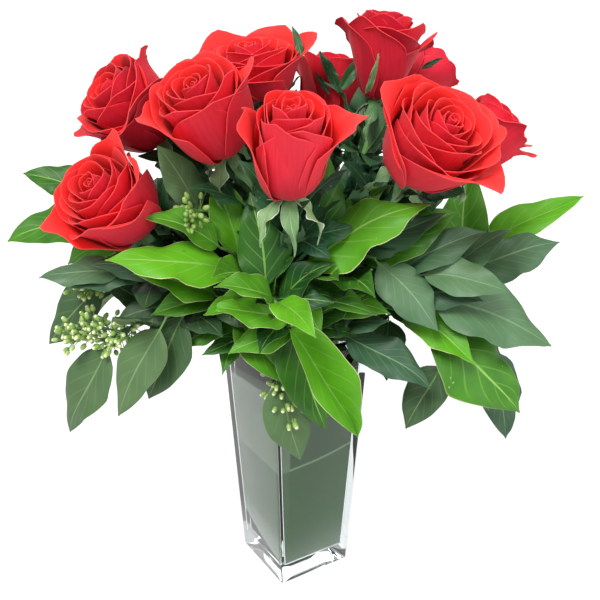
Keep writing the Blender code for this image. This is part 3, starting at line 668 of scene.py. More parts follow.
# %% Finishes for stems and seed capsules
stem_green = Finish("green_stem", Specular_IOR_Level=0.35, Roughness=0.42)
streaks = stem_green.wire.noise(90.0, 3.0, (1, 1, 0.12))
stem_green.feed("Base Color", streaks.step(0.3, 0.7).mix((0.035, 0.120, 0.030), (0.16, 0.32, 0.080)))
stem_green.bump(streaks, 0.35, 0.0004)
stem_green.report()

capsule = Finish("seed_capsule", Specular_IOR_Level=0.4)
end, _, shade = capsule.marks("marks")
speckle = capsule.wire.noise(120.0, 2.0)
skin = (speckle * 0.6 + shade * 0.5).clamp().mix((0.11, 0.26, 0.04), (0.36, 0.50, 0.14))
capsule.feed("Base Color", end.step(0.72, 0.92).mix(skin, (0.66, 0.68, 0.40)))
capsule.feed("Roughness", 0.38 + speckle * 0.2)
capsule.bump(speckle, 0.3, 0.0003)
capsule.report()

# %% [markdown]
# ## The shape of a leaf
# The solid's leaf is a few flat sections; the real one has a smooth outline that
# runs out to a drawn tip, halves that rise from the midrib, and a rim that waves
# where it grew faster than the middle. All of that is added to the same arc.

# %% The outline of a leaf
def blade_width(along, stalk, widest, pointed):
    """Half width as a share of the widest half, from the stalk's end to the tip."""
    u = np.clip((along - stalk) / (1 - stalk), 1e-6, 1 - 1e-6)
    fore, aft = widest, 1 - widest
    return (u / fore) ** (pointed * fore) * ((1 - u) / aft) ** (pointed * aft)


print("a salal leaf's width at quarters of its length",
      [round(float(blade_width(quarter / 4, 0.08, 0.37, 1.75)), 2) for quarter in (1, 2, 3)])

# %% The midrib of a leaf, swayed, curled and twisted
def leaf_spine(root, heading, facing, length, droop, along, draw, wave):
    """Points along the midrib, and the sideways and both upward directions there, twisted and not."""
    forward, normal, side = (np.array(v) for v in leaf_axes(heading, facing))
    bend = math.radians(droop)
    angle = bend * (0.5 - along)
    arc = (math.sin(bend / 2) - np.sin(angle)) * forward + (np.cos(angle) - math.cos(bend / 2)) * normal
    sway = np.sin(along * draw.uniform(2.5, 4.5) + draw.uniform(0, 6.3)) * along * (1 - along)
    tip_curl = np.clip((along - 0.72) / 0.28, 0, 1) ** 2 * draw.uniform(-0.2, 1.0)
    centre = np.array(root) + arc * length / bend
    centre = centre + sway * length * 0.10 * wave * side - tip_curl * length * 0.07 * wave * normal
    up = np.cos(angle) * normal - np.sin(angle) * forward
    twist = draw.uniform(-0.55, 0.55) * wave * (along - 0.35)
    sideways = np.cos(twist) * side + np.sin(twist) * up
    return centre, sideways, np.cos(twist) * up - np.sin(twist) * side, up


ends, luck = np.array([[0.0], [1.0]]), np.random.default_rng(0)
reached = leaf_spine(UP * 0, direction(0, 0), UP, 0.1, 38, ends, luck, 0)[0][1, 0]
print("a salal midrib 0.1 long reaches", round(float(reached), 4), "as it droops")

# %% One leaf as a closed sheet
# Rows and columns of a leaf's grid, for one that is seen whole and for one deep in the bunch.
FINE_GRID, COARSE_GRID = (29, 13), (15, 7)
LEAF_SKIN, THINNEST_HALF, RIB_AT_STALK, RIB_AT_TIP = 0.00045, 0.0006, 0.0008, 0.00018
# Marks above 1 tell a finish that it is painting the underside or the outside.
FAR_SIDE = (0, 0, 1.05)


def add_leaf(shape, root, heading, facing, length, kind, draw, finish, rib_finish,
             wave=1.0, tones=(0.05, 0.9), narrow=1.0, folded=1.0, grid=FINE_GRID):
    """A blade with its stalk: draw is a random source that gives it its own waves and twist."""
    share, stalk, widest, fold, droop, pointed = LEAF_KINDS[kind]
    u = np.linspace(0, 1, grid[0])
    along = (stalk * 0.55 + (1 - stalk * 0.55) * (u * 0.6 + 0.4 * np.sin(u * np.pi / 2)))[:, None]
    across = np.sin(np.linspace(-1, 1, grid[1]) * np.pi / 2 * 0.92)[None, :] / math.sin(np.pi / 2 * 0.92)
    centre, sideways, upward, up = leaf_spine(root, heading, facing, length, droop, along, draw, wave)
    off, inner = np.abs(across), np.clip(np.sin((along - stalk) / (1 - stalk) * np.pi), 0, 1)
    left, right = draw.uniform(0, 2 * np.pi, 2)
    cycles = draw.uniform(1.5, 2.6, 2)
    phase, turns = np.where(across < 0, left, right), np.where(across < 0, cycles[0], cycles[1])
    uneven = 1 + 0.04 * wave * np.sin(along * turns * 5 + phase * 2) * inner + 0.05 * np.sign(across) * wave
    half = narrow * share * length * blade_width(along, stalk, widest, pointed) / 2
    half = np.maximum(THINNEST_HALF, half) * uneven
    ripple = np.sin(along * turns * 2 * np.pi + phase) * off ** 1.8 * inner
    ripple = ripple + 0.22 * np.sin(along * turns * 5.3 * np.pi + phase * 3) * off ** 4 * inner
    veins = np.cos((along - off * 0.32) * 6 * 2 * np.pi) * off * (1 - off) * inner
    lift = off * half * fold * folded * draw.uniform(0.4, 2.6) - off ** 3 * half * 0.16
    rise = lift + ripple * length * 0.044 * wave - veins * 0.0007
    sideways, upward = sideways[:, None], upward[:, None]
    middle = centre[:, None] + sideways * (half * across)[..., None] + upward * rise[..., None]
    thick = LEAF_SKIN / 2 * (1 - 0.6 * off[..., None] ** 4)
    tone = draw.uniform(*tones)
    marks = np.stack(np.broadcast_arrays(across, along, tone), -1)
    shape.sheet(middle + upward * thick, middle - upward * thick, marks, marks + FAR_SIDE, finish)
    first = np.array(root)
    rib = np.concatenate([[first, (first + centre[0]) / 2], centre[:-3] - up[:-3] * LEAF_SKIN * 0.6])
    radii = np.linspace(RIB_AT_STALK, RIB_AT_TIP, len(centre) - 3)
    shape.tube(rib, np.concatenate([[RIB_AT_STALK] * 2, radii]), 5, (0, 0.5, tone), rib_finish)


trial = Shape()
add_leaf(trial, UP * 0, direction(0, 0), UP, 0.1, "salal", np.random.default_rng(0), 0, 1)
print("a trial leaf 0.1 long spans", np.ptp(np.concatenate(trial.points), axis=0).round(3).tolist())

# %% [markdown]
# ## Seed capsules
# Seeded gum carries its seeds in strings: a stalk that droops, short twigs on all
# sides of it, and on each twig's end a small cup. A cup is one outline turned round
# the twig's direction. Its lid pales as it ripens.

# %% One string of seed capsules
STRING_STEP, CUPS_PER_STEP, TWIG_REACH = 0.0075, 12, 0.015
STALK_RADII, TWIG_RADIUS, TWIG_ARCH = (0.0009, 0.0005), 0.00035, 0.0008
CUP_SIZES, CUP_LENGTH, CUP_WIDTH, CUP_SIDES = (0.0022, 0.0029), 2.3, 0.82, 8
# The share of the cup's length and of its width, from the twig to the lid.
CUP = ((0.00, 0.25), (0.12, 0.75), (0.40, 1.0), (0.70, 0.88), (0.88, 0.62), (0.94, 0.56), (1.00, 0.20))
TWIG_MARKS = (0, 0, 0.3)


def add_cup(shape, place, out, size, tone, ripe, finish):
    """One capsule that points outwards from its twig's end."""
    across = np.cross(out, (0.3, 0.5, 0.81))
    across /= np.linalg.norm(across)
    ring = circle(across, np.cross(out, across), CUP_SIDES)
    rings = [place + out * size * CUP_LENGTH * along + ring * size * wide * CUP_WIDTH for along, wide in CUP]
    shape.rings(rings, [[(along * ripe, 0, tone)] * CUP_SIDES for along, _ in CUP], finish)


def add_capsules(shape, root, heading, length, draw, finish, ripe):
    """A drooping stalk that branches into short twigs, each with a cup whose lid is pale once ripe."""
    root, heading, up = np.array(root), np.array(heading), np.array(UP)
    mid = root + heading * length * 0.5
    end = root + heading * length * 0.7 - up * length * 0.3

    def stalk(t):
        return root * (1 - t) ** 2 + mid * 2 * t * (1 - t) + end * t ** 2

    shape.tube(stalk(np.linspace(0, 1, 12)[:, None]), np.linspace(*STALK_RADII, 12), 6, TWIG_MARKS, finish)
    steps = max(3, int(length / STRING_STEP))
    for k in range(steps):
        base = stalk(0.18 + 0.82 * (k + 0.5) / steps)
        for _ in range(CUPS_PER_STEP):
            out = draw.normal(size=3) * (1, 1, 0.7) + heading * 0.7 - up * 0.25
            out /= np.linalg.norm(out)
            reach = TWIG_REACH * draw.uniform(0.45, 1.0)
            bent = base + out * reach * 0.5 + up * TWIG_ARCH
            shape.tube([base, bent, base + out * reach], TWIG_RADIUS, 5, TWIG_MARKS, finish)
            size, tone = draw.uniform(*CUP_SIZES), draw.uniform(0, 1)
            add_cup(shape, base + out * reach, out, size, tone, ripe, finish + 1)


trial = Shape()
add_capsules(trial, UP * 0, direction(0, 0), 0.045, np.random.default_rng(0), 0, 1.0)
print("a trial string has", trial.count, "points")

# %% [markdown]
# ## Grow the sprays
# Each spray becomes one piece: its stem, its leaves and, on seeded gum, its
# capsules. Every spray draws its waves from a source with its own number, so the
# bunch comes out the same each time and one spray can change without the others.

# %% How single leaves look
SPRAY_FINISHES = {"salal": (SALAL, "salal_leaves", 1.0), "gum": (GUM, "gum_leaves", 1.0),
                  "roundgum": (ROUND_GUM, "round_gum_leaves", 0.6)}
# Some leaves catch more light than others, which is painted into their tone, and some are
# broader, narrower or folded along the midrib: by spray and leaf, a painted tone from dark
# to bright, or None for a tone of its own, the share of the usual width, and the share of the fold.
LEAF_LOOKS = {
    (2, 0): (0.7, 1, 1), (4, 0): (None, 0.85, 1), (5, 0): (None, 0.82, 1), (6, 0): (0.93, 0.85, 0.1),
    (8, 0): (0.15, 1.15, 1), (9, 0): (0.7, 1, 1), (10, 0): (0.8, 1, 1), (11, 0): (0.9, 1, 1),
    (12, 0): (0.6, 1, 1), (13, 0): (0.9, 0.72, 2.6), (13, 1): (0.3, 1, 1), (14, 0): (0.9, 1, 1),
    (15, 0): (None, 0.9, 1), (16, 0): (None, 1.3, 1), (19, 0): (0.4, 1.2, 0.4), (20, 0): (0.8, 1.2, 1),
    (21, 0): (0.9, 1.2, 1), (22, 0): (None, 1.35, 0.6), (23, 0): (0.95, 0.66, 1.5), (24, 0): (0.5, 1, 1),
    (25, 1): (0.9, 0.7, 1.5), (27, 0): (0.2, 1, 1), (27, 2): (0.3, 1, 1), (28, 0): (0.35, 1, 1),
}
# Tones for the other leaves: those seen whole get random tones that carry some painted light, and the leaves
# that fill the bunch and those under it get low tones, painted shade.
SHOWN_TONES, FILLER_SHADE_TONES, UNDER_SHADE_TONES = (0.25, 0.85), (0.0, 0.30), (0.0, 0.2)
print(len(LEAF_LOOKS), "leaves have a look of their own")

# %% Sprays
SPRAY_STEM_RADII = 0.0017, 0.0011
# Small leaves below the others, their dark tone painted shade, so that no gap shows through:
# how many, how far the first is from the tip, the step to the next, length, and least height.
UNDER_LEAVES, UNDER_FROM, UNDER_STEP, UNDER_LENGTH, UNDER_LOWEST = 5, 0.030, 0.014, 0.052, VASE_HEIGHT + 0.020
# One spray's string of seeds is still green, and lies forward on the leaf before it.
GREEN_STRING, STRING_FORWARD, HALF_RIPE = 34, direction(FRONT, 45) * 0.016, 0.5


def add_under_leaves(shape, route, kind, azimuth, draw):
    for k in range(UNDER_LEAVES):
        root = along_from_tip(route, UNDER_FROM + UNDER_STEP * k)
        if root.z > UNDER_LOWEST:
            heading = direction(azimuth + k * ROSE_LEAF_TURN, draw.uniform(-15, 35))
            length = UNDER_LENGTH * draw.uniform(0.8, 1.3)
            add_leaf(shape, root, heading, facing_at(root), length, kind, draw, 0, 1,
                     tones=UNDER_SHADE_TONES, grid=COARSE_GRID)


for number, ((node, route, blades, strings), row) in enumerate(zip(LAID, SPRAYS), 1):
    draw = np.random.default_rng(number)
    finish, slot, wave = SPRAY_FINISHES[row[0]]
    shape = Shape()
    shape.tube(route, np.linspace(*SPRAY_STEM_RADII, len(route)), 10, (0, 0.5, 0.4), 1)
    for k, (root, heading, length, fills) in enumerate(blades):
        tone, narrow, folded = LEAF_LOOKS.get((number, k), (None, 1, 1))
        tones = (tone, tone) if tone is not None else FILLER_SHADE_TONES if fills else SHOWN_TONES
        add_leaf(shape, root, heading, facing_at(root), length, row[0], draw, 0, 1,
                 wave, tones, narrow, folded)
    add_under_leaves(shape, route, row[0], row[1] + number * ROSE_LEAF_TURN, draw)
    for root, heading, length in strings:
        green = number == GREEN_STRING
        root, ripe = (root + STRING_FORWARD, HALF_RIPE) if green else (root, 1.0)
        add_capsules(shape, root, heading, length, draw, 1, ripe)
    made = stand_in(shape, node + "_green", (finish, stem_green, capsule), (node,))
print(len(LAID), "sprays, the last with", len(made.data.polygons), "faces")

# %% [markdown]
# ## Roses
# A rose is a spiral. The bud at the heart is a roll of narrow petals, and each
# petal further out is wider, stands lower and leans back more, turned by the golden
# angle from the one before so that none hides behind its neighbour. Every petal is
# drawn flat first, its upper corners are rolled back about two slanting lines that
# leave a pointed tip between them, and it is then wrapped round the cup.

# %% Petal finish: two reds, streaks, painted light and shade, and a painted highlight on the rim
petal = Finish("velvet_petal", Specular_IOR_Level=0.18, Sheen_Weight=0.12, Sheen_Roughness=0.5,
               Sheen_Tint=(1.0, 0.5, 0.5, 1))
across, along, side = petal.marks("marks")
outside = side.step(0.98, 1.02)
fan = petal.wire.node("CombineXYZ", {}, {0: across * 11, 1: along * 1.6, 2: side * 40})
streak = petal.wire.node("TexNoise", {}, {"Vector": fan, "Scale": 1.6, "Detail": 3.0})
mottle = petal.wire.noise(38.0, 2.0)
fine = petal.wire.noise(420.0, 2.0)
# Both reds are painted lighter towards the lip and darker towards the base, as painted light and shade, over
# streaks and mottling that are the petal's own.
inner_red = (mottle * 0.4 + streak * 0.3 + along * 0.4 - 0.1).clamp()
inner_red = inner_red.mix((0.84, 0.008, 0.012), (1.0, 0.040, 0.034))
outer_red = (streak * 0.5 + along * 0.6 - 0.15).clamp().mix((0.40, 0.003, 0.022), (0.88, 0.026, 0.048))
red = outside.mix(inner_red, outer_red)
# Painted shade deep in the cup: the lower half of every petal is darkened towards a dark crimson.
deep = along.step(0.55, 0.02) * 0.6
red = deep.mix(red, (0.28, 0.001, 0.010))
red = (side.fraction().step(0.5, 0.1) * 0.6).mix(red, (0.40, 0.002, 0.022))
# Painted highlight: a thin pale line along the lips and sides of each petal, where its rim catches the light.
rim = abs(across).larger(along).step(0.982, 1.0)
petal.feed("Base Color", (rim * 0.2).mix(red, (1.0, 0.16, 0.17)))
petal.feed("Roughness", 0.52 + fine * 0.16)
petal.bump(fine * 0.25 + streak * 0.75, 0.30, 0.0005)
petal.report()

# %% [markdown]
# ## The shape of a petal
# Seen from the side, a rose is a cup: full at the belly, drawn in above it, and
# flaring at the lip. Petals near the heart follow a tight cup and the outer ones an
# open one, so the outline between is mixed from the two by a petal's age. A petal
# starts flat, where its width, notches and drawn tip are easy to draw.

# %% The outline of a cup that a petal follows
# Shares of the cup's radius and height, from the base to the lip: for the rolled
# heart, for the petals half way out, and for the outermost ones. Flaring moves
# the last two places outwards and down.
HEART = ((0.30, 0.00), (1.10, 0.10), (1.20, 0.45), (1.05, 0.80), (0.62, 1.00))
MIDDLE = ((0.20, 0.00), (1.05, 0.02), (1.16, 0.42), (0.98, 0.78), (1.14, 1.00))
OUTER = ((0.14, 0.00), (1.02, -0.06), (1.12, 0.36), (0.98, 0.74), (1.34, 1.00))
FLARING = ((0, 0), (0, 0), (-0.04, 0), (0.05, -0.02), (0.36, -0.10))


def cup_outline(radius, height, age, flare, slim):
    """Distance from the axis, height and slope along a smooth curve from base to lip, by length."""
    heart, middle, outer, flaring = (np.array(points) for points in (HEART, MIDDLE, OUTER, FLARING))
    points = heart + (middle - heart) * min(1, age / 0.30)
    points = points + (outer - points) * max(0, (age - 0.30) / 0.70) + flaring * flare * min(1, age / 0.30)
    points[:, 0] *= 1 - np.array((0, 2.0, 1.2, 0.2, 0)) * slim
    t = np.linspace(0, 1, 60)[:, None]
    binomials = (1, 4, 6, 4, 1)
    curve = sum(n * t ** k * (1 - t) ** (4 - k) * point
                for k, (n, point) in enumerate(zip(binomials, points))) * (radius, height)
    steps = np.concatenate([[0], np.cumsum(np.linalg.norm(np.diff(curve, axis=0), axis=1))])
    return steps, curve[:, 0], curve[:, 1]


print("an outer cup of radius 1 and height 1 is", round(cup_outline(1, 1, 1.0, 0, 0)[0][-1], 2), "long")

# %% Roll a flat petal's corners back
def rolled(x, y, corner, low, high, radius, most):
    """Places beyond a slanting line on each side, turned outward about it, and how far they lift."""
    side, off = np.sign(x), np.abs(x)
    size = math.hypot(corner, high - low)
    nx, ny = (high - low) / size, corner / size
    beyond = np.maximum(0, (off - corner) * nx + (y - low) * ny)
    angle = np.minimum(beyond / radius, most)
    spare = beyond - angle * radius
    kept = radius * np.sin(angle) + spare * math.cos(most) * (angle >= most)
    lift = radius * (1 - np.cos(angle)) + spare * math.sin(most) * (angle >= most)
    return side * (off - nx * (beyond - kept)), y - ny * (beyond - kept), lift


corner = rolled(np.array(0.02), np.array(0.04), 0.02, 0.025, 0.04, 0.003, 1.5)
print("the corner of a trial petal comes to", [round(float(c), 4) for c in corner])

# %% A flat petal, with its corners rolled and its rim waved
PETAL_ROWS, PETAL_COLUMNS = 21, 25


def flat_petal(half, length, age, openness, draw, point, wavy):
    """Grids of shares across and along, of the places that these come to, and of the lift there."""
    rows = 1 - (1 - np.linspace(0, 1, PETAL_ROWS)) ** 1.35
    columns = np.sin(np.linspace(-1, 1, PETAL_COLUMNS) * np.pi / 2)
    s, t = np.meshgrid(columns, rows)
    outline = 0.26 + 0.74 * np.sin(np.pi / 2 * np.minimum(1, t / 0.70)) ** 1.15
    round_off = 0.34 - 0.06 * age + 0.5 * point
    tip = (point + 0.05 * max(0, age - 0.5)) * draw.uniform(0.7, 1.3)
    ragged = 0.018 * np.sin(s * draw.uniform(5, 9) + draw.uniform(0, 6.3)) * wavy * age
    top = 1 - round_off * np.abs(s) ** 2.3 + tip * np.exp(-(s / 0.17) ** 2) + ragged
    curl = 0.10 + (0.7 + 1.3 * openness) * max(0, age - 0.40) * draw.uniform(0.7, 1.2)
    low = length * (0.93 - 0.36 * max(0, age - 0.45) * draw.uniform(0.6, 1.3))
    high = length * (0.97 + 0.05 * age)
    bend = length * (0.07 + 0.07 * age) * draw.uniform(0.8, 1.3)
    x, y, lift = rolled(s * half * outline, t * top * length, half, low, high, bend, curl)
    wave = (np.sin(s * draw.uniform(2.0, 4.0) + draw.uniform(0, 6.3)) * t ** 3
            + 0.5 * np.sin(s * draw.uniform(5, 8) + draw.uniform(0, 6.3)) * t ** 6)
    lift = lift + wave * length * (0.008 + 0.024 * age) * wavy
    crease = -np.exp(-(s / 0.12) ** 2) * t ** 2 * length * 0.012 * age
    return s, t, x, y, lift + crease


lifts = flat_petal(0.03, 0.06, 1.0, 0.5, np.random.default_rng(0), 0.0, 1.0)[4]
print("the rim of a trial petal lifts by up to", round(float(lifts.max()), 4))

# %% One petal, wrapped round its cup
PETAL_SKIN = 0.0005
USUAL_TONES, CRIMSON_TONES = (0.35, 0.95), (0.05, 0.45)


def add_petal(shape, rose, turn, age, radius, height, half_angle, flare, draw, point=0.0, wavy=1.0):
    """One petal of a rose, placed by its turn about the axis and its age from 0, the heart, to 1."""
    base, across_dir, up_dir, axis, openness, slim, crimson = rose
    steps, reach, rise = cup_outline(radius, height, age, flare, slim)
    length = steps[-1]
    s, t, x, y, lift = flat_petal(radius * half_angle, length, age, openness, draw, point, wavy)
    here = np.clip(y, 0, length)
    r, z = np.interp(here, steps, reach), np.interp(here, steps, rise)
    slope_r = np.interp(here, steps, np.gradient(reach, steps))
    slope_z = np.interp(here, steps, np.gradient(rise, steps))
    over = y - here
    r, z = r + over * slope_r, z + over * slope_z
    spiral = (0.15 - 0.05 * age) * radius * s * (0.4 + 0.6 * t)
    tilt = draw.normal(0, 0.03) * (0.3 + age)
    r = r + lift * slope_z + spiral + z * tilt
    z = z - lift * slope_r
    bow = np.maximum(r, 0.35 * radius) * (1 + 0.16 * age)
    out, aside = r + bow * (np.cos(x / bow) - 1), bow * np.sin(x / bow)
    radial = math.cos(turn) * across_dir + math.sin(turn) * up_dir
    tangent = -math.sin(turn) * across_dir + math.cos(turn) * up_dir
    middle = base + out[..., None] * radial + aside[..., None] * tangent + z[..., None] * axis
    normal = np.cross(np.gradient(middle, axis=1), np.gradient(middle, axis=0))
    normal /= np.maximum(np.linalg.norm(normal, axis=-1, keepdims=True), 1e-12)
    tone = draw.uniform(*(CRIMSON_TONES if crimson else USUAL_TONES))
    inside = np.stack(np.broadcast_arrays(s, t, tone), -1)
    skin = normal * PETAL_SKIN / 2
    shape.sheet(middle - skin, middle + skin, inside, inside + FAR_SIDE)


print("each petal is a grid of", PETAL_ROWS, "by", PETAL_COLUMNS, "points on both sides")

# %% [markdown]
# ## Twelve heads
# No two roses are open alike, so each head has its own row of numbers. The spiral
# makes its petals by rule, and a few petals that stand away from the head, as on a
# rose that has been out for a day, are listed one by one.

# %% How each head looks
# Of each head: azimuth and pitch that it opens towards, how far open it is,
# how far it is turned, how far the lips of its outer petals flare, its cup's share
# of the head's radius, how slim the cup's belly is and how far its outer petals
# stand below the heart; then the petals that stand away from it, each as the
# azimuth and pitch that it leans towards, flare, half width, drawn-out tip, height.
ROSE_LOOKS = (
    (198, 46, 0.45, 20, 0.1, 0.72, 0.00, 0.04, (
        (150, -50, 0.7, 1.1, 0.08, 0.84), (190, 88, 0.0, 1.2, 0.08, 0.96), (325, 5, 0.2, 1.3, 0.04, 0.92),
        (250, -40, 0.5, 1.5, 0.02, 0.84))),
    (176, 42, 0.40, 80, 0.0, 0.82, 0.00, 0.02, (
        (185, 60, 0.3, 1.3, 0.02, 0.84), (250, 5, 0.9, 1.5, 0.02, 0.84), (300, -40, 0.9, 1.3, 0.02, 0.78),
        (150, -60, 0.2, 1.0, 0.00, 0.82))),
    (200, 58, 0.40, 150, 0.0, 0.76, 0.00, 0.02, (
        (328, 10, 0.5, 1.3, 0.05, 0.9), (160, -45, 0.2, 1.1, 0.03, 0.9))),
    (200, 80, 0.70, 40, 0.1, 0.72, 0.00, 0.18, (
        (150, 0, 1.1, 1.2, 0.05, 0.72), (335, 0, 0.5, 1.4, 0.02, 0.86), (20, 30, 0.1, 1.4, 0.01, 0.92),
        (100, 30, 0.1, 1.5, 0.01, 0.88))),
    (246, 68, 0.45, 100, -0.5, 0.76, 0.00, 0.10, (
        (328, 30, 1.9, 1.1, 0.05, 0.92), (150, 0, 0.3, 1.2, 0.02, 0.84))),
    (20, 72, 0.45, 10, 0.2, 0.86, 0.00, 0.00, ((150, 30, 0.6, 1.1, 0.05, 0.9),)),
    (0, 82, 0.15, 60, 0.7, 0.70, 0.20, 0.00, (
        (150, 0, 1.0, 1.3, 0.03, 0.92), (316, 0, 1.3, 0.9, 0.04, 0.84), (238, 0, 0.8, 1.6, 0.0, 0.90))),
    (0, 35, 0.40, 0, 0.2, 0.68, 0.00, 0.00, ((328, -20, 0.5, 1.0, 0.08, 0.9),)),
    (277, 47, 0.85, 120, 0.1, 0.73, 0.00, 0.04, (
        (150, 30, 0.6, 1.6, 0.04, 0.9), (280, -35, 0.8, 1.7, 0.05, 0.88), (345, 0, 0.5, 1.2, 0.03, 0.9))),
    (335, 40, 0.60, 200, 0.2, 0.82, 0.00, 0.00, (
        (328, 40, 0.7, 1.1, 0.06, 0.9), (330, -30, 0.7, 1.1, 0.08, 0.9))),
    (85, 45, 0.50, 90, 0.2, 0.80, 0.00, 0.00, ((60, 0, 0.8, 1.1, 0.06, 0.9),)),
    (50, 38, 0.60, 250, 0.2, 0.80, 0.00, 0.00, ((90, 0, 0.8, 1.1, 0.06, 0.9),)),
)
# Heads that are a deeper red than the others.
CRIMSON = (7, 8, 10, 2)
print(len(ROSE_LOOKS), "heads with", sum(len(looks[-1]) for looks in ROSE_LOOKS), "petals that stand away")

# %% Build one rose head
GOLDEN = math.radians(137.5)
# By a petal's age from the heart, 0, to the outside, 1: its share of the cup's
# radius, and half its width in radii.
REACH_BY_AGE = (0, 0.12, 0.5, 1), (0.10, 0.24, 0.62, 0.94)
WIDTH_BY_AGE = (0, 0.25, 0.6, 1), (2.6, 2.1, 1.75, 1.55)


def around(axis):
    """Two directions across an axis, the first of them level."""
    side = axis.cross(UP)
    side = side.normalized() if side.length > 1e-6 else Vector((1, 0, 0))
    return side, axis.cross(side)


def add_bloom(shape, base, radius, length, looks, crimson, draw):
    """All the petals of one head, from the heart outwards."""
    towards, pitch, openness, turned, flare, size, slim, drop, guards = looks
    axis = direction(towards, pitch)
    side, up = around(axis)
    rose = [np.array(v) for v in (base, side, up, axis)] + [openness, slim, crimson]
    count = int(20 + 8 * openness)
    cup = radius * size
    for k in range(count):
        age = (k / (count - 1)) ** 1.3
        reach = cup * np.interp(age, *REACH_BY_AGE)
        heights = 0.90, 0.97, 0.95 - drop * 0.6, 0.90 - 0.08 * openness - drop
        height = length * np.interp(age, (0, 0.25, 0.6, 1), heights)
        angle = np.interp(age, *WIDTH_BY_AGE)
        lips = openness - 0.4 + flare * age ** 3 + draw.uniform(-0.12, 0.12)
        turn = math.radians(turned) + k * GOLDEN + draw.normal(0, 0.08)
        add_petal(shape, rose, turn, age, reach, height, angle, lips, draw)
    for azimuth, pitch, lean, width, point, tall in guards:
        leaning = direction(azimuth, pitch)
        turn = math.atan2(leaning.dot(up), leaning.dot(side))
        add_petal(shape, rose, turn, 1.0, cup * 0.96, length * tall, width, lean, draw, point, 1.6)


trial = Shape()
add_bloom(trial, UP * 0, 0.04, 0.06, ROSE_LOOKS[0], False, np.random.default_rng(0))
print("a trial head has", len(trial.points), "petals and", trial.count, "points")

# %% [markdown]
# ## Under the bloom
# A rose sits on a small green hip, and five narrow sepals hang from it, pale at
# their edges and curling at the tip. They show wherever a head is seen from the
# side, with the long stem below.

# %% Hip and sepals
sepal = leaf_finish("sepal", (0.07, 0.17, 0.060), (0.24, 0.38, 0.17), (0.40, 0.50, 0.30),
                    (0.42, 0.53, 0.36), (0.76, 0.79, 0.64), 0.46, 4, 0.2, 0.4, 0.93)
HIP_OUTLINE = ((0.0, 0.44), (0.10, 0.50), (0.28, 0.86), (0.55, 1.0), (0.80, 0.97), (1.0, 0.82))
SEPALS, SEPAL_LENGTH, SEPAL_BELOW_TOP = 5, 0.039, 0.0030


def add_hip(shape, top, axis):
    low, along_axis = np.array(top - axis * HIP_LENGTH), np.array(axis)
    ring = circle(*around(axis), 14)
    rings = [low + along_axis * HIP_LENGTH * along + ring * HIP_RADIUS * out for along, out in HIP_OUTLINE]
    shape.rings(rings, (0, 0.5, 0.6), 0)


def add_sepals(shape, top, axis, draw):
    side, up = around(axis)
    for k in range(SEPALS):
        turn = 2 * math.pi * (k + 0.3) / SEPALS
        out = side * math.cos(turn) + up * math.sin(turn)
        heading = (out * 0.62 - axis * 0.55 - UP * 0.45).normalized()
        root = top - axis * SEPAL_BELOW_TOP + out * HIP_RADIUS * 0.60
        length = SEPAL_LENGTH * draw.uniform(0.85, 1.15)
        add_leaf(shape, root, heading, out + axis, length, "sepal", draw, 1, 0, 1.8)


print("a hip", HIP_LENGTH, "long with", SEPALS, "sepals of", SEPAL_LENGTH)

# %% [markdown]
# ## Leaves against the petals
# A few narrow leaves and raised sepals lie against the heads. They are placed as
# seen from the front, to the right, up and near from a head's middle, because
# that is how a florist tucks them in.

# %% Raised leaves
# Narrow leaves and raised sepals against the petals, seen from the front: rose,
# place to the right, up and near from the middle of its head, lean to the right
# in degrees, how far it stands forward, length, and whether it is pale.
RAISED = (
    (6, 0.002, -0.011, 0.034, -24, 0.0, 0.038, False),
    (6, 0.002, -0.011, 0.036, 37, 0.0, 0.043, False),
    (6, -0.006, -0.012, 0.033, -31, 0.0, 0.021, False),
    (8, -0.004, 0.000, 0.027, 65, 0.1, 0.019, False),
    (4, 0.047, 0.004, 0.014, -18, 0.0, 0.027, False),
    (7, -0.011, -0.032, 0.016, 12, 0.7, 0.030, True),
    (7, -0.014, -0.033, 0.013, 20, 0.8, 0.031, True),
)
TO_RIGHT = direction(FRONT + 90, 0)
TO_TOP = TO_VIEWER.cross(TO_RIGHT)


def add_raised(shape, number, middle, draw):
    for rose, right, high, near, lean, forward, length, pale in RAISED:
        if rose == number:
            root = middle + TO_RIGHT * right + TO_TOP * high + TO_VIEWER * near
            a = math.radians(lean)
            heading = TO_RIGHT * math.sin(a) + TO_TOP * math.cos(a) + TO_VIEWER * forward
            kind, finish = ("wisp", 1) if pale else ("blade", 2)
            add_leaf(shape, root, heading, TO_VIEWER, length, kind, draw, finish, 0, 0.8)


print(len(RAISED), "raised leaves on roses", sorted({row[0] for row in RAISED}))

# %% [markdown]
# ## Leaves on a rose's stem
# A rose's leaf is a stalk with a blade at its end and a smaller pair beside it.
# Young leaves crowd the stem just under a head, which fills the middle of the
# bunch with dark green, partly painted shade, and the older ones stand alone below.

# %% Rose leaves and young leaves
# Degrees that the side blades turn away from the middle one, where the three part
# along the leaf, their lengths as shares of it, and the radius of its stalk.
SIDE_BLADES, FORK, MIDDLE_BLADE, SIDE_BLADE, LEAF_STALK = (-52, 52), 0.22, 0.80, 0.62, 0.0006


# Depths below the hip at which young leaves start and end, their step and length,
# and the height that they stay above.
YOUNG_FROM, YOUNG_TO, YOUNG_STEP, YOUNG_LENGTH, YOUNG_LOWEST = 0.022, 0.150, 0.0075, 0.054, VASE_HEIGHT + 0.03


def add_rose_leaf(shape, root, heading, length, draw):
    facing = facing_at(root)
    fork, _ = midrib(root, heading, facing, length, "rose", FORK)
    add_leaf(shape, fork, heading, facing, length * MIDDLE_BLADE, "rose", draw, 2, 0)
    shape.tube([root, fork], LEAF_STALK, 6, (0, 0.5, 0.4), 0)
    for aside in SIDE_BLADES:
        turned = Quaternion(facing.normalized(), math.radians(aside)) @ heading
        add_leaf(shape, fork, turned, facing, length * SIDE_BLADE, "rose", draw, 2, 0, grid=COARSE_GRID)


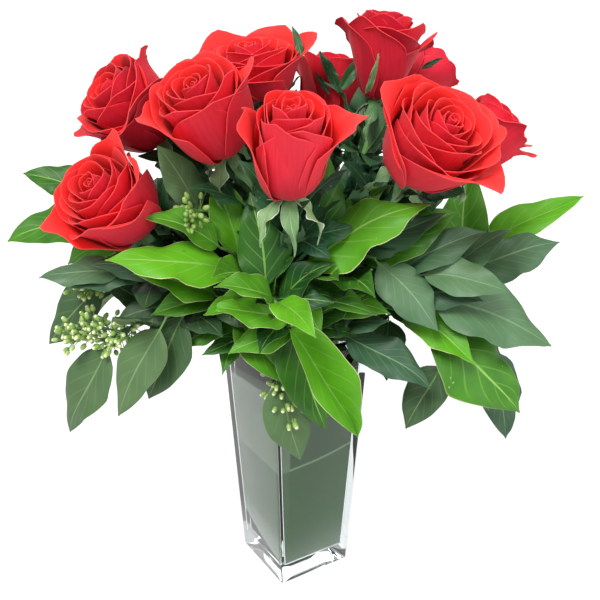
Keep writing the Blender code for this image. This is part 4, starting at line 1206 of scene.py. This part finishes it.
def add_young_leaves(shape, route, axis, draw):
    for k, depth in enumerate(np.arange(YOUNG_FROM, YOUNG_TO, YOUNG_STEP)):
        root = along_from_tip(route, depth)
        if root.z < YOUNG_LOWEST:
            return
        heading = (direction(k * ROSE_LEAF_TURN, 0) + axis * draw.uniform(0.7, 2.0)).normalized()
        length = YOUNG_LENGTH * draw.uniform(0.8, 1.35)
        add_leaf(shape, root, heading, facing_at(root), length, "young", draw, 2, 0, 1.4, grid=COARSE_GRID)


print("a stem with no bend carries up to", len(np.arange(YOUNG_FROM, YOUNG_TO, YOUNG_STEP)), "young leaves")

# %% Lay the roses
ROSE_COARSE_STEPS, ROSE_FINE_STEPS = 5, 30
rose_slots = slots([head[0] for head in ROSE_HEADS])
grown = 0
for number, (head, looks) in enumerate(zip(ROSE_HEADS, ROSE_LOOKS), 1):
    azimuth, distance, height, towards, pitch, radius, length = head
    draw = np.random.default_rng(500 + number)
    name, slot = f"rose_{number:02d}", rose_slots[number - 1]
    axis = direction(towards, pitch)
    middle = polar(azimuth, distance, height)
    base = middle - axis * length / 2
    hip_top = base - axis * GAP
    tip = hip_top - axis * STEM_INTO_HIP
    bloom, green = Shape(), Shape()
    add_bloom(bloom, base, radius, length, looks, number in CRIMSON, draw)
    stand_in(bloom, name + "_petals", (petal,), (name + "_bloom",))
    corners, radii = corners_of(name + "_stem"), (ROSE_STEM_RADIUS, ROSE_STEM_RADIUS)
    bow = laid_stem(corners, slot, ROSE_RING, tip, axis, radii, ROSE_COARSE_STEPS)
    coarse, route = (stem_route(slot, ROSE_RING, tip, axis, bow, steps)
                     for steps in (ROSE_COARSE_STEPS, ROSE_FINE_STEPS))
    green.tube(route, ROSE_STEM_RADIUS, 12, (0, 0.5, 0.5), 0)
    add_hip(green, hip_top, axis)
    add_sepals(green, hip_top, axis, draw)
    add_raised(green, number, middle, draw)
    add_young_leaves(green, route, axis, draw)
    for k, depth in enumerate(ROSE_LEAF_DEPTHS):
        root = along_from_tip(coarse, depth)
        turn = (number + k) * ROSE_LEAF_TURN
        found = laid_leaf(corners, root, turn, ROSE_LEAF_PITCH, ROSE_LEAF_LENGTH, "rose")
        if found:
            grown += 1
            add_rose_leaf(green, root, *found, draw)
    stand_in(green, name + "_green", (stem_green, sepal, ROSE_LEAF), (name + "_stem",))
print(len(ROSE_HEADS), "roses with", grown, "leaves on their stems")

# %% [markdown]
# ## Vase and lining
# The vase is pressed glass: four flat sides that widen upwards, upright edges with
# a small radius, a foot as thick as a finger, and a cavity with softer corners than
# the outside. The lining leaf follows the cavity's walls. So both are rings of a
# rounded square, joined from one height to the next, which keeps the walls as even
# as in the solid.

# %% Rings of a rounded square
def square_ring(half, corner, height, per_corner=7):
    """Points round a square with rounded corners, at one height."""
    turn = np.linspace(0, np.pi / 2, per_corner)
    arc = np.stack([np.cos(turn), np.sin(turn)], -1) * corner + (half - corner)
    points = []
    for k in range(4):
        c, s = math.cos(k * math.pi / 2), math.sin(k * math.pi / 2)
        points.append(arc @ np.array([(c, s), (-s, c)]))
    flat = np.concatenate(points)
    return np.column_stack([flat, np.full(len(flat), height)])


def wall_rings(corner, places):
    """Rings that follow the tapered sides: each place is a height and how far inside the sides it lies."""
    return [square_ring(side_at(height) / 2 - inset, corner, height) for height, inset in places]


print("a ring has", len(square_ring(0.04, 0.002, 0)), "points")

# %% Clear glass
OUTER_CORNER, INNER_CORNER = 0.0014, 0.0024
FOOT_EDGE, RIM, FLOOR_EDGE = 0.0014, 0.0012, 0.0012
BETWEEN = (0.06, 0.12, 0.18)
glass = Finish("clear_glass", Base_Color=(0.81, 0.875, 0.88, 1), Roughness=0.0, IOR=1.42,
               Transmission_Weight=1.0, Specular_IOR_Level=0.1)
glass.report()
outside = [(0.0, FOOT_EDGE), (0.0004, 0.0006), (FOOT_EDGE, 0.0)] + [(height, 0.0) for height in BETWEEN]
outside += [(VASE_HEIGHT - RIM, 0.0), (VASE_HEIGHT - RIM * 0.3, RIM * 0.3), (VASE_HEIGHT, RIM)]
cavity = [(VASE_HEIGHT, VASE_WALL - RIM), (VASE_HEIGHT - RIM * 0.3, VASE_WALL - RIM * 0.3),
          (VASE_HEIGHT - RIM, VASE_WALL)] + [(height, VASE_WALL) for height in reversed(BETWEEN)]
cavity += [(VASE_FLOOR + FLOOR_EDGE, VASE_WALL), (VASE_FLOOR + 0.0004, VASE_WALL + 0.0004),
           (VASE_FLOOR, VASE_WALL + FLOOR_EDGE)]
vase = Shape()
vase.rings(wall_rings(OUTER_CORNER, outside) + wall_rings(INNER_CORNER, cavity))
vase = stand_in(vase, "glass_vase", (glass,), ("vase",), sharp=35)
print("glass", [round(c, 4) for c in vase.dimensions])

# %% [markdown]
# ## The lining's finish
# The leaf inside is pressed flat against the glass. It is a deeper green where it
# is dry, and a pale line marks the water's edge, which bends a little as it climbs
# the glass. The glass wall that faces the light shows a grey-green glare, and that
# reflection is painted onto the lining there as a pale veil. The height and the wall
# decide all this, so the masks come from coordinates and not from the numbers of the points.

# %% Paint of the lining: wet, dry, water line and painted glare
WATER_LEVEL, WATER_SOFTNESS, LINE_RAISED, LINE_HALF_WIDTH = 0.119, 0.003, 0.002, 0.0016
# Where the painted glare of the glass begins along x, and where it is full.
GLARE_FROM, GLARE_TO = -0.026, -0.029
lining = Finish("lining_leaf", Specular_IOR_Level=0.08)
east, _, high = lining.wire.node("TexCoord", out=3).parts()
grain = lining.wire.noise(60.0, 2.0, (1, 1, 0.06))
cloud = lining.wire.noise(14.0, 2.0)
blotch = (grain * 0.35 + cloud * 0.8 - 0.1).clamp()
wet = blotch.mix((0.012, 0.084, 0.002), (0.029, 0.132, 0.008))
dry = blotch.mix((0.009, 0.060, 0.003), (0.023, 0.100, 0.010))
above = high + cloud * 0.004 - (east + 0.03) * (east + 0.03) * 2.0
tone = above.step(WATER_LEVEL, WATER_LEVEL + WATER_SOFTNESS).mix(wet, dry)
line = (1 - abs(above - WATER_LEVEL - LINE_RAISED) / LINE_HALF_WIDTH).clamp()
tone = (line * 0.8).mix(tone, (0.34, 0.52, 0.26))
# Painted reflection: the glare of the lit glass wall, painted pale grey-green on the lining's wall towards
# negative x, paler above the water.
painted_glare = above.step(WATER_LEVEL + 0.004, WATER_LEVEL).mix((0.20, 0.26, 0.15), (0.055, 0.115, 0.030))
painted_glare_mask = east.step(GLARE_FROM, GLARE_TO) * (0.60 + grain * 0.45).clamp()
lining.feed("Base Color", painted_glare_mask.mix(tone, painted_glare))
lining.feed("Roughness", 0.50 + grain * 0.2)
lining.bump(grain, 0.15, 0.0004)
lining.report()

# %% The lining leaf, a sleeve with four walls
LINING_LIFT, LINING_RINGS = 0.0015, 16
heights = np.linspace(VASE_FLOOR + LINING_LIFT, VASE_HEIGHT - LINING_BELOW_RIM, LINING_RINGS)
corner, depth = INNER_CORNER - GAP, VASE_WALL + GAP
outer = wall_rings(corner, [(z, depth) for z in heights])
inner = wall_rings(corner - LINING_THICKNESS, [(z, depth + LINING_THICKNESS) for z in reversed(heights)])
sleeve = Shape()
sleeve.rings(outer + inner, looped=True)
sleeve = stand_in(sleeve, "vase_lining", (lining,), ("lining_leaf",))
print("lining", [round(c, 4) for c in sleeve.dimensions])

# %% [markdown]
